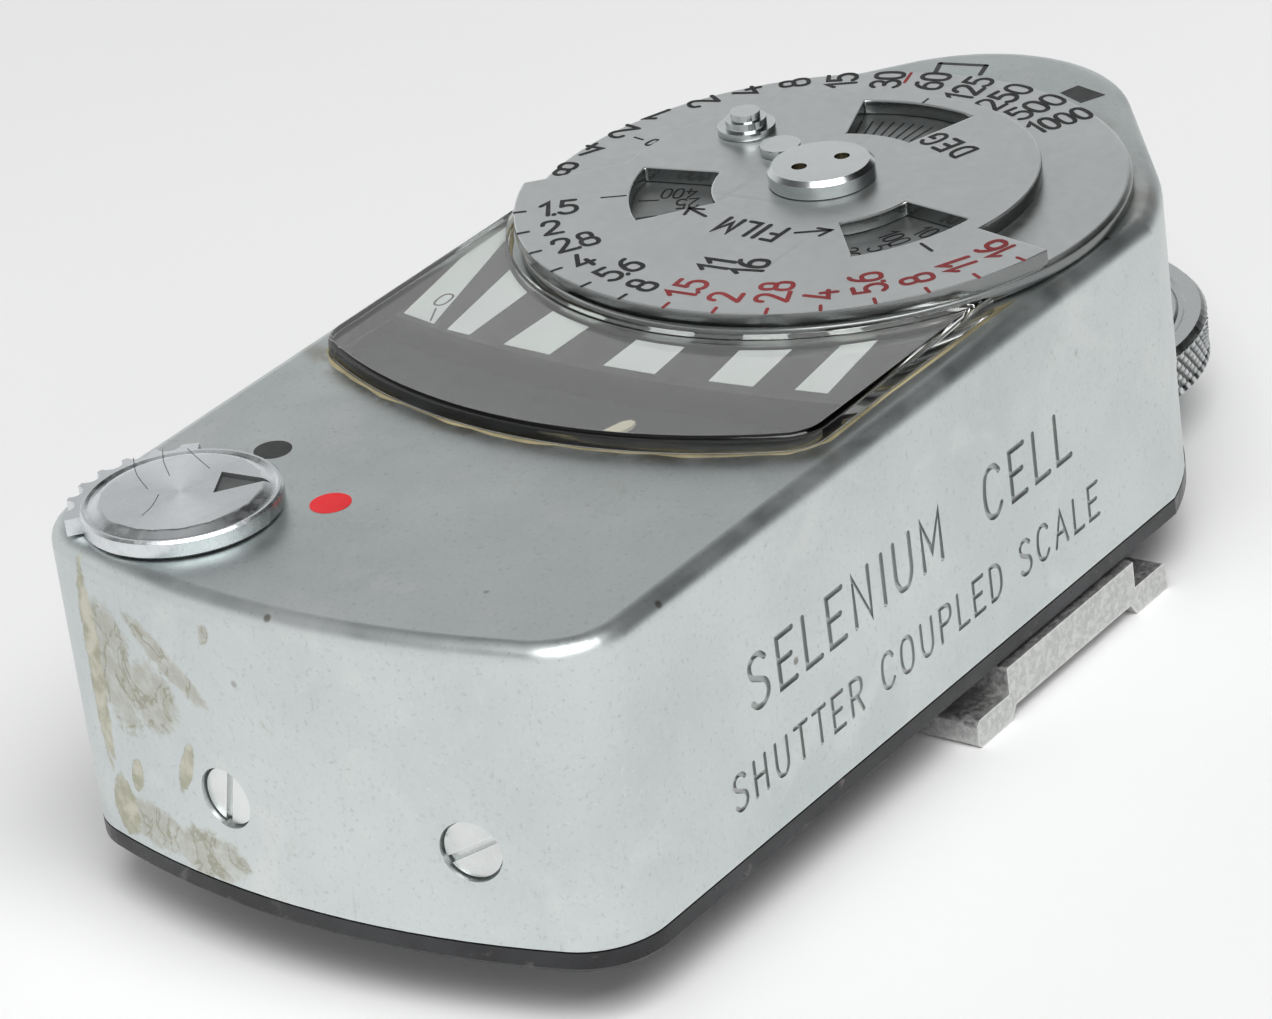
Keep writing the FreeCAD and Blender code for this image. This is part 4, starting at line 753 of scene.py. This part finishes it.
cover_bm = cad_copy("housing_cover")
cover = finish_piece("cover_shell", cover_bm, [SATIN, LETTER_SHADE], "housing")
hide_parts("housing_cover")
cuts = bmesh.new()
TEXT_DEPTH = 0.14
upper_line = Sheet((-27.0, BACK_Y, 11.4), (1, 0, 0), (0, 0, 1))
write(cuts, upper_line, "SELENIUM", 2.7, 0.16, -TEXT_DEPTH, 0.3, spread=1.12, mat=1)
upper_line.origin = Vector((-6.2, BACK_Y, 11.4))
write(cuts, upper_line, "CELL", 2.7, 0.16, -TEXT_DEPTH, 0.3, spread=1.12, mat=1)
lower_line = Sheet((-29.2, BACK_Y, 7.0), (1, 0, 0), (0, 0, 1))
write(cuts, lower_line, "SHUTTER COUPLED SCALE", 1.85, 0.12, -TEXT_DEPTH * 0.8, 0.3, spread=1.16,
      mat=1)
carve(cover, cuts, [SATIN, LETTER_SHADE])
END_R = DX - low("housing_cover").x


def end_rule(co, normal):
    """The near end is part of a cylinder about the dial's axis."""
    way = Vector((co.x - DX, co.y, 0.0))
    if abs(way.length - END_R) < 0.01 and co.z < COVER_TOP - 0.99 and normal.dot(way.normalized()) > 0.8:
        return way.normalized()
    return None


even_normals(cover.data, 30.0, end_rule)

marks = bmesh.new()
top = flat(0, 0, COVER_TOP)
slab(marks, top, [(-31.17 + 1.05 * math.cos(a * math.pi / 20), 3.85 + 1.03 * math.sin(a * math.pi / 20))
                  for a in range(40)], -0.05, 0.02, mat=0)
slab(marks, top, [(-27.65 + 0.97 * math.cos(a * math.pi / 20), 10.3 + 0.97 * math.sin(a * math.pi / 20))
                  for a in range(40)], -0.05, 0.015, mat=1)
index_shape = [(DX + 17.55, -3.65), (DX + 18.75, -4.05), (DX + 18.15, -6.15), (DX + 16.75, -5.45)]
slab(marks, top, index_shape, -0.05, 0.015, mat=1)
for p, q in (((17.65, 4.5), (18.85, 4.95)), ((18.85, 4.95), (19.45, 2.3)), ((19.45, 2.3), (18.25, 1.95))):
    stroke(marks, top, [(DX + p[0], p[1]), (DX + q[0], q[1])], 0.14, -0.05, 0.012, mat=1)
finish_piece("cover_marks", marks, [RED_DOT, BLACK_DOT], "housing")


# ---------------------------------------------------------------- meter window

WIN_HALF, WIN_OUT, WIN_IN = 15.1, 28.2, 16.8


def window_ring(inset, dial_share=1.0, counts=(6, 7, 40, 7, 6, 44)):
    """Points round the window's outline, moved inward, always in step with each other."""
    half, outer, inner = WIN_HALF - inset, WIN_OUT - inset, WIN_IN + inset * dial_share
    corner = 2.2 - inset * 0.6
    cy = half - corner
    cx = -math.sqrt((outer - corner) ** 2 - cy ** 2)
    alpha = math.atan2(cy, cx)
    ix = -math.sqrt(inner ** 2 - half ** 2)
    delta = math.atan2(half, ix)
    turn = 2 * math.pi
    out = []

    def sweep(x, y, r, a, b, n):
        out.extend((x + r * math.cos(a + (b - a) * k / n), y + r * math.sin(a + (b - a) * k / n))
                   for k in range(n))

    out.extend((ix + (cx - ix) * k / counts[0], half) for k in range(counts[0]))
    sweep(cx, cy, corner, math.pi / 2, alpha, counts[1])
    sweep(0, 0, outer, alpha, turn - alpha, counts[2])
    sweep(cx, -cy, corner, turn - alpha, 1.5 * math.pi, counts[3])
    out.extend((cx + (ix - cx) * k / counts[4], -half) for k in range(counts[4]))
    sweep(0, 0, inner, turn - delta, delta, counts[5])
    return [(DX + x, y) for x, y in out]


def add_ring(bm, points, z):
    return [bm.verts.new((x, y, z)) for x, y in points]


win = bmesh.new()
W_LOW, W_TOP = low("meter_window").z, high("meter_window").z
outer_r, inner_r, skin = 0.3, 0.1, 0.9
side = 0.15
levels = [(0.0, W_LOW), (0.0, COVER_TOP + 0.02), (0.0, W_TOP - outer_r)]
levels += [(outer_r * (1 - math.cos(a)), W_TOP - outer_r * (1 - math.sin(a)))
           for a in (k * math.pi / 12 for k in range(1, 7))]
outside = [add_ring(win, window_ring(i, 0.12), z) for i, z in levels]
roof = W_TOP - skin
hollow = [(side, W_LOW), (side, roof - inner_r)]
hollow += [(side + inner_r * (1 - math.cos(a)), roof - inner_r * (1 - math.sin(a)))
           for a in (k * math.pi / 10 for k in range(1, 6))]
inside = [add_ring(win, window_ring(i, 0.4), z) for i, z in hollow]
bridge_all(win, outside)
bridge_all(win, inside, flip=True)
bridge(win, outside[0], inside[0])
win.faces.new(outside[-1])
win.faces.new(list(reversed(inside[-1])))
window = finish_piece("window_moulding", win, [BY_SLOT["clear"]], "housing", 50, True)
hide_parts("meter_window")

# Dried cement squeezed out along the window's foot.
bead = bmesh.new()
foot_out = window_ring(-0.03)
count = len(foot_out)
rows = []
for share, rise in ((0.0, 0.0), (0.35, 0.07), (1.0, 0.0)):
    row = []
    for k in range(count):
        a = 2 * math.pi * k / count
        wide = 0.2 + 0.09 * math.sin(7 * a + 1.0) + 0.07 * math.sin(17 * a) + 0.05 * math.sin(31 * a + 2.0)
        wide = max(0.05, wide)
        inner_pt = Vector(foot_out[k])
        outer_pt = Vector(window_ring(-0.03 - wide)[k])
        spot = inner_pt.lerp(outer_pt, share)
        row.append(bead.verts.new((spot.x, spot.y, COVER_TOP + 0.005 + rise * (0.4 + wide * 2))))
    rows.append(row)
under = [bead.verts.new((v.co.x, v.co.y, COVER_TOP - 0.02)) for v in rows[0]]
under_out = [bead.verts.new((v.co.x, v.co.y, COVER_TOP - 0.02)) for v in rows[2]]
bridge_all(bead, rows + [under_out, under, rows[0]])
finish_piece("window_cement", bead, [RESIDUE], "housing", smooth=80)

# Pearl stripes on the raised step, cut off at the step's inner edge.
stripes = bmesh.new()
step_sheet = flat(DX, 0, STRIPE_TOP)
STEP_R = WIN_IN + 0.2


def meet(p, q):
    """Where the line from p through q meets the step's inner arc."""
    d = Vector(q) - Vector(p)
    b = Vector(p).dot(d)
    c = Vector(p).length_squared - STEP_R ** 2
    t = (-b - math.sqrt(max(0.0, b * b - d.length_squared * c))) / d.length_squared
    return Vector(p) + d * t


STRIPES = (
    ((-18.85, 13.7), (-19.3, 11.4), (-8.2, 15.8), (-10.0, 13.95)),
    ((-19.6, 10.3), (-19.7, 8.8), (-11.8, 11.7), (-12.8, 9.05)),
    ((-19.95, 6.4), (-20.05, 3.45), (-14.0, 6.3), (-14.3, 3.4)),
    ((-20.05, 0.05), (-19.9, -3.0), (-14.05, 0.3), (-13.6, -2.3)),
    ((-19.55, -6.05), (-19.25, -8.5), (-12.7, -5.0), (-11.05, -7.5)),
    ((-18.75, -10.7), (-18.5, -12.45), (-9.2, -9.5), (-7.6, -10.7)),
)
for top_out, low_out, top_in, low_in in STRIPES:
    a0, a1 = meet(top_out, top_in), meet(low_out, low_in)
    t0, t1 = math.atan2(a0.y, a0.x), math.atan2(a1.y, a1.x)
    if t1 < t0:
        t1 += 2 * math.pi
    turns = [t0 + (t1 - t0) * k / 6 for k in range(7)]
    arc_points = [(STEP_R * math.cos(a), STEP_R * math.sin(a)) for a in turns]
    slab(stripes, step_sheet, [top_out] + arc_points + [low_out], -0.02, 0.03)
finish_piece("scale_stripes", stripes, [PEARL], "housing")
strip = bmesh.new()
STRIP_R = 18.0
sweep_in = [math.radians(a) for a in range(124, 237, 2)]
slab(strip, step_sheet, [(STEP_R * math.cos(a), STEP_R * math.sin(a)) for a in sweep_in]
     + [(STRIP_R * math.cos(a), STRIP_R * math.sin(a)) for a in reversed(sweep_in)], -0.5, 0.001)
finish_piece("scale_strip", strip, [BY_SLOT["dark"]], "housing")
zero = bmesh.new()
write(zero, Sheet((DX - 17.5, 12.95, STRIPE_TOP + 0.03), (0.12, -1, 0), (1, 0.12, 0)), "0", 1.35, 0.06)
stroke(zero, flat(DX, 0, STRIPE_TOP + 0.03),
       [(-19.1, 11.75), (-17.8, 12.4)], 0.05, -0.02, 0.012)
finish_piece("scale_zero", zero, [GREY_INK], "housing")


# The needle's broad cream tip.
blade = bmesh.new()
pivot = mid("pivot_staff")
tip_sheet = Sheet((pivot.x, pivot.y, high("needle").z), (math.cos(NEEDLE_REST), math.sin(NEEDLE_REST), 0),
                  (-math.sin(NEEDLE_REST), math.cos(NEEDLE_REST), 0))
slab(blade, tip_sheet, [(10.6, 0.4), (14.6, 0.42), (15.0, 0.2), (15.05, 0.0), (15.0, -0.2), (14.6, -0.42),
                        (10.6, -0.4)], -0.1, 0.08)
finish_piece("needle_blade", blade, [BY_SLOT["cream"]], "needle_system")


# ---------------------------------------------------------------- dials

F_STEP = 9.77
F_START = 125.5
f_marks = bmesh.new()
F_BLACK = ("1.5", "2", "2.8", "4", "5.6", "8")
F_RED = ("1.5", "2", "2.8", "4", "5.6", "8", "11", "16")
for i, word in enumerate(F_BLACK + F_RED):
    angle = F_START + i * F_STEP
    ink = 0 if i < len(F_BLACK) else 1
    tick(f_marks, angle, 15.72, 16.26, UPPER_TOP, 0.1, ink)
    label(f_marks, angle, 14.95, UPPER_TOP, word, 1.65, 0.13, True, mat=ink, spread=0.86)
for i, word in ((6, "11"), (7, "16")):
    label(f_marks, F_START + i * F_STEP, 11.75, UPPER_TOP, word, 1.65, 0.13, True, spread=0.9)
tick(f_marks, 122.0, 10.4, 11.7, UPPER_TOP, 0.06)
tick(f_marks, 241.8, 10.7, 11.85, UPPER_TOP, 0.09)
tick(f_marks, 2.2, 10.35, 10.9, UPPER_TOP, 0.06)
film = Sheet((DX - 5.95, -1.95, UPPER_TOP), (0.02, 1, 0), (-1, 0.02, 0))
write(f_marks, film, "FILM", 1.6, 0.13, spread=1.0, squeeze=0.9)
for run in ([(-6.2, 3.2), (-5.65, 4.6)], [(-5.5, 3.8), (-5.65, 4.6), (-6.4, 4.4)],
            [(-6.25, -2.5), (-5.3, -4.1)], [(-6.1, -3.9), (-5.3, -4.1), (-5.35, -3.3)]):
    stroke(f_marks, flat(DX, 0, UPPER_TOP), run, 0.1, -0.02, 0.012)
degrees = Sheet((DX + 6.1, -5.8, UPPER_TOP), (0.35, 0.94, 0), (-0.94, 0.35, 0))
write(f_marks, degrees, "DEG", 1.45, 0.12, spread=1.08)
finish_piece("aperture_figures", f_marks, [BLACK_INK, RED_INK], "film_dial")

speeds = bmesh.new()
SPEEDS = ("1000", "500", "250", "125", "60", "30", "15", "8", "4", "2", "1", "2", "4", "8", "15", "30", "60")
for i, word in enumerate(SPEEDS):
    angle = -28.6 + i * F_STEP
    spread = 0.86 if word == "1000" else 1.0
    label(speeds, angle, 15.9, SPEED_TOP, word, 1.55, 0.125, False, end_at=True, spread=spread,
          squeeze=0.9 if word == "1000" else 1.1)
tick(speeds, 16.2, 14.6, 15.9, SPEED_TOP, 0.09, 1)
label(speeds, 79.6, 12.8, SPEED_TOP, "0", 0.8, 0.08, False)
tick(speeds, 79.6, 13.75, 14.4, SPEED_TOP, 0.06)
# Film-speed figures seen through the two near panes and a fine ladder in the far one.
for word, angle, reach in (("400", 110.5, 8.8), ("25", 120.5, 7.8), ("50", 234.0, 9.0), ("100", 242.5, 8.3),
                           ("10", 254.0, 8.6), ("200", 222.5, 9.2)):
    label(speeds, angle, reach, SPEED_TOP + 0.01, word, 1.15, 0.055, False, end_at=True, spread=0.76,
          squeeze=0.8)
for angle in (116.0, 129.0, 238.0, 248.0):
    tick(speeds, angle, 8.9, 9.9, SPEED_TOP + 0.01, 0.06)
for i in range(-5, 6):
    tick(speeds, 2.5 + i * 3.7, 7.4 if i % 3 else 6.8, 9.3, SPEED_TOP + 0.01, 0.055)
# A darker band on the speed disc under the panes: painted shade, and also the disc's own darker centre.
band = bmesh.new()
lathe(band, (DX, 0.0), [(5.4, SPEED_TOP - 0.02), (5.4, SPEED_TOP + 0.01), (10.7, SPEED_TOP + 0.01),
                        (10.7, SPEED_TOP - 0.02)], 120)
bridge(band, list(band.verts)[-120:], list(band.verts)[:120])
finish_piece("speed_disc_band", band, [SHADED], "speed_dial", weighted=True)
finish_piece("speed_figures", speeds, [BLACK_INK, RED_INK], "speed_dial")


# ---------------------------------------------------------------- range knob

knob = finish_piece("range_knob_body", cad_copy("range_knob"), [TURNED, DEEP], "range_switch")
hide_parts("range_knob")
wedge = bmesh.new()
knob_top = flat(KNOB.x, KNOB.y, KNOB_TOP)
slab(wedge, knob_top, [(0.5, -1.65), (2.75, -3.45), (2.45, -0.6)], -0.28, 0.3, mat=1)
carve(knob, wedge, [TURNED, DEEP])
even_normals(knob.data, 28.0)
nicks = bmesh.new()
for run in ([(1.9, 4.6), (0.6, 3.3), (-0.45, 1.7)], [(3.2, 3.8), (2.2, 2.9), (1.1, 1.6)],
            [(3.8, 2.7), (3.2, 1.6), (2.5, 0.2)], [(-0.7, 0.8), (-1.8, 0.3), (-2.8, 0.1)]):
    stroke(nicks, knob_top, smooth_run(run), 0.022, -0.02, 0.006)
finish_piece("knob_scratches", nicks, [DEEP], "range_switch")


# ---------------------------------------------------------------- coupling wheel

WHEEL_LOW, WHEEL_R, WHEEL_T = low("coupling_wheel").z, 10.8, 2.9
wheel = bmesh.new()
KNURL_DEPTH, KNURL_LEAD = 0.26, 0.76
around, up_rows = 720, 18
knurl_rows = []
TEETH = 90
for k in range(up_rows + 1):
    share = k / up_rows
    z = WHEEL_LOW + 0.2 + share * (WHEEL_T - 0.55)
    fade = min(1.0, min(share, 1 - share) * 8 + 0.15)
    row = []
    for i in range(around):
        a = 2 * math.pi * i / around
        arc_len = a * TEETH / (2 * math.pi)
        one = abs(((arc_len + (z - WHEEL_LOW) / KNURL_LEAD) % 1.0) - 0.5) * 2
        two = abs(((arc_len - (z - WHEEL_LOW) / KNURL_LEAD) % 1.0) - 0.5) * 2
        r = WHEEL_R - KNURL_DEPTH * (1 - min(one, two)) * fade
        row.append(wheel.verts.new((WHEEL.x + r * math.cos(a), WHEEL.y + r * math.sin(a), z)))
    knurl_rows.append(row)
bridge_all(wheel, knurl_rows)


def wheel_ring(r, z):
    return [wheel.verts.new((WHEEL.x + r * math.cos(2 * math.pi * i / around),
                             WHEEL.y + r * math.sin(2 * math.pi * i / around), z)) for i in range(around)]


# Turned faces over and under the wheel: radius, then height above its lower face.
OVER = ((WHEEL_R - 0.35, WHEEL_T), (9.6, WHEEL_T), (9.45, WHEEL_T - 0.12), (9.2, WHEEL_T - 0.12),
        (9.05, WHEEL_T), (4.0, WHEEL_T), (4.0, 4.8), (1.5, 4.8), (1.5, 8.1))
BENEATH = ((WHEEL_R - 0.3, 0.0), (8.6, 0.0), (8.4, 0.2), (7.9, 0.2), (7.7, 0.0), (3.1, 0.0), (2.9, 0.3))
over = [knurl_rows[-1]] + [wheel_ring(r, WHEEL_LOW + z) for r, z in OVER]
bridge_all(wheel, over)
wheel.faces.new(over[-1])
beneath = [knurl_rows[0]] + [wheel_ring(r, WHEEL_LOW + z) for r, z in BENEATH]
bridge_all(wheel, beneath, flip=True)
wheel.faces.new(list(reversed(beneath[-1])))
wheel_piece = finish_piece("knurled_wheel", wheel, [KNURLED], "coupler", smooth=32)
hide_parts("coupling_wheel")
pin_box = mid("coupling_pin")
bore = bmesh.new()
PIN_BORE = ((0, -0.5), (1.03, -0.5), (1.03, 0.7), (1.31, 0.7), (1.31, 3.4), (0, 3.4))
lathe(bore, (pin_box.x, pin_box.y), [(r, WHEEL_LOW + z) for r, z in PIN_BORE], 32)
carve(wheel_piece, bore, [KNURLED])


# ---------------------------------------------------------------- light cell window

cell_low, cell_high = low("cell_window"), high("cell_window")
lens = bmesh.new()
FACE_Y = cell_high.y
FLANGE = 0.8
x0, x1 = cell_low.x + FLANGE, cell_high.x - FLANGE
z0, z1 = cell_low.z + FLANGE, cell_high.z - FLANGE
PITCH = 1.5
ROW_PITCH = PITCH * math.sqrt(3) / 2
cols, rows_n = 132, 40
grid = []
for j in range(rows_n + 1):
    row = []
    for i in range(cols + 1):
        x = x0 + (x1 - x0) * i / cols
        z = z0 + (z1 - z0) * j / rows_n
        nearest = 9.0
        j0 = round((z - z0) / ROW_PITCH)
        for jj in (j0 - 1, j0, j0 + 1):
            shift = PITCH / 2 if jj % 2 else 0.0
            i0 = round((x - x0 - shift) / PITCH)
            for ii in (i0 - 1, i0, i0 + 1):
                dx = x - (x0 + shift + ii * PITCH)
                dz = z - (z0 + jj * ROW_PITCH)
                nearest = min(nearest, math.hypot(dx, dz))
        dome = 0.42 * max(0.0, 1 - (nearest / (PITCH * 0.62)) ** 2)
        rim = min(1.0, 4 * min(x - x0, x1 - x, z - z0, z1 - z))
        row.append(lens.verts.new((x, FACE_Y - 0.45 + dome * rim, z)))
    grid.append(row)
for j in range(rows_n):
    for i in range(cols):
        lens.faces.new((grid[j][i], grid[j][i + 1], grid[j + 1][i + 1], grid[j + 1][i]))
edge_loop = (grid[0] + [grid[j][-1] for j in range(1, rows_n + 1)]
             + list(reversed(grid[-1][:-1])) + [grid[j][0] for j in range(rows_n - 1, 0, -1)])
back_loop = [lens.verts.new((v.co.x, cell_low.y + FLANGE, v.co.z)) for v in edge_loop]


def flare(value, start, end):
    """Moves a place on either end of a side out by the flange's width."""
    if min(abs(value - start), abs(value - end)) < 1e-6:
        return value + math.copysign(FLANGE, value - (start + end) / 2)
    return value


wide_front = [lens.verts.new((flare(v.co.x, x0, x1), cell_low.y + FLANGE, flare(v.co.z, z0, z1)))
              for v in edge_loop]
wide_back = [lens.verts.new((w.co.x, cell_low.y, w.co.z)) for w in wide_front]
bridge_all(lens, [edge_loop, back_loop, wide_front, wide_back])
lens.faces.new(wide_back)
lens_piece = finish_piece("cell_lens_plate", lens, [BY_SLOT["clear"]], "housing", smooth=60)
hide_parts("cell_window")


# ---------------------------------------------------------------- carried CAD nodes

def soften(node, width):
    """Breaks a node's sharp edges without touching its mesh."""
    obj = NODES[node]
    weld = obj.modifiers.new("Weld", "WELD")
    weld.merge_threshold = 1e-6
    bevel = obj.modifiers.new("Break", "BEVEL")
    bevel.width = width * MM
    bevel.segments = 2
    bevel.limit_method = "ANGLE"
    bevel.angle_limit = math.radians(32)
    bevel.harden_normals = False
    bevel.use_clamp_overlap = True
    soft = obj.modifiers.new("Normals", "WEIGHTED_NORMAL")
    soft.keep_sharp = True


EDGE_WIDTHS = {"shoe_foot": 0.22, "aperture_disc": 0.1, "speed_disc": 0.1, "end_screws": 0.12,
               "lock_button": 0.06, "spring_rivet": 0.08}
for node_name, width in EDGE_WIDTHS.items():
    soften(node_name, width)


# ---------------------------------------------------------------- floor, light, camera

floor = bmesh.new()
bmesh.ops.create_grid(floor, x_segments=2, y_segments=2, size=1500.0)
floor_obj = place("floor", to_mesh("floor", floor))
floor_tree = Tree("pale_floor")
floor_tree.set(Base_Color=floor_tree.mix(floor_tree.noise(20, 3), (0.86, 0.86, 0.86), (0.89, 0.89, 0.89)),
               Roughness=0.85, Metallic=0.0)
floor_obj.data.materials.append(floor_tree.mat)

CENTRE = Vector((-4.0, 0.0, 12.0)) * MM


def softbox(name, direction, distance, size, power):
    data = bpy.data.lights.new(name, "AREA")
    data.shape = "RECTANGLE"
    data.size = size[0] * MM
    data.size_y = size[1] * MM
    data.energy = power
    lamp = place(name, data)
    way = Vector(direction).normalized()
    lamp.location = CENTRE + way * distance * MM
    lamp.rotation_euler = (-way).to_track_quat("-Z", "Y").to_euler()


softbox("key", (-0.30, -0.42, 0.86), 800, (700, 500), 6.2)

world = bpy.data.worlds.new("studio")
bpy.context.scene.world = world
world.use_nodes = True
wt = world.node_tree
wt.nodes.clear()
kinds = ("OutputWorld", "Background", "TexCoord", "SeparateXYZ", "ValToRGB", "VectorMath", "MapRange",
         "VectorMath")
w_out, w_bg, w_coord, w_split, w_ramp, w_dark, w_fade, w_mul = (wt.nodes.new("ShaderNode" + k) for k in kinds)
w_bg.inputs["Strength"].default_value = 0.95
GRADIENT = ((0.0, 1.0), (0.25, 1.0), (0.45, 0.86), (0.57, 0.2), (0.78, 0.14), (1.0, 0.6))
while len(w_ramp.color_ramp.elements) < len(GRADIENT):
    w_ramp.color_ramp.elements.new(0.5)
for element, (height, value) in zip(w_ramp.color_ramp.elements, GRADIENT):
    element.position = height
    element.color = (value, value, value * 1.01, 1.0)
w_dark.operation = "DOT_PRODUCT"
w_dark.inputs[1].default_value = Vector((0.72, -0.36, 0.56)).normalized()
w_fade.interpolation_type = "SMOOTHSTEP"
for socket, value in (("From Min", 0.68), ("From Max", 0.88), ("To Min", 1.0), ("To Max", 0.03)):
    w_fade.inputs[socket].default_value = value
w_mul.operation = "SCALE"
for source, target in (
        (w_bg.outputs[0], w_out.inputs[0]),
        (w_coord.outputs["Generated"], w_split.inputs[0]),
        (w_split.outputs["Z"], w_ramp.inputs["Fac"]),
        (w_coord.outputs["Generated"], w_dark.inputs[0]),
        (w_dark.outputs["Value"], w_fade.inputs["Value"]),
        (w_ramp.outputs[0], w_mul.inputs[0]),
        (w_fade.outputs["Result"], w_mul.inputs["Scale"]),
        (w_mul.outputs[0], w_bg.inputs["Color"])):
    wt.links.new(source, target)

AZIMUTH, ELEVATION, ROLL = (math.radians(a) for a in (-51.03, 26.64, -7.71))
back = Vector((math.sin(AZIMUTH) * math.cos(ELEVATION), -math.cos(AZIMUTH) * math.cos(ELEVATION),
               math.sin(ELEVATION)))
level = Vector((math.cos(AZIMUTH), math.sin(AZIMUTH), 0.0))
rise = back.cross(level)
right = level * math.cos(ROLL) + rise * math.sin(ROLL)
upward = rise * math.cos(ROLL) - level * math.sin(ROLL)
aim = Vector((DX, 0.0, COVER_TOP - 0.8))
ASIDE, RAISED, AWAY = 10.08, 15.03, 292.64
spot = (aim - right * ASIDE - upward * RAISED + back * AWAY) * MM
camera_data = bpy.data.cameras.new("camera")
camera_data.sensor_width = 36.0
camera_data.lens = 157.5
camera_data.clip_start = 0.01
camera_data.clip_end = 20.0
camera = place("camera", camera_data)
camera.matrix_world = Matrix([*zip(right, upward, back, spot), (0.0, 0.0, 0.0, 1.0)])
bpy.context.scene.camera = camera
bpy.context.scene.view_settings.view_transform = "Standard"
bpy.context.scene.view_settings.look = "None"
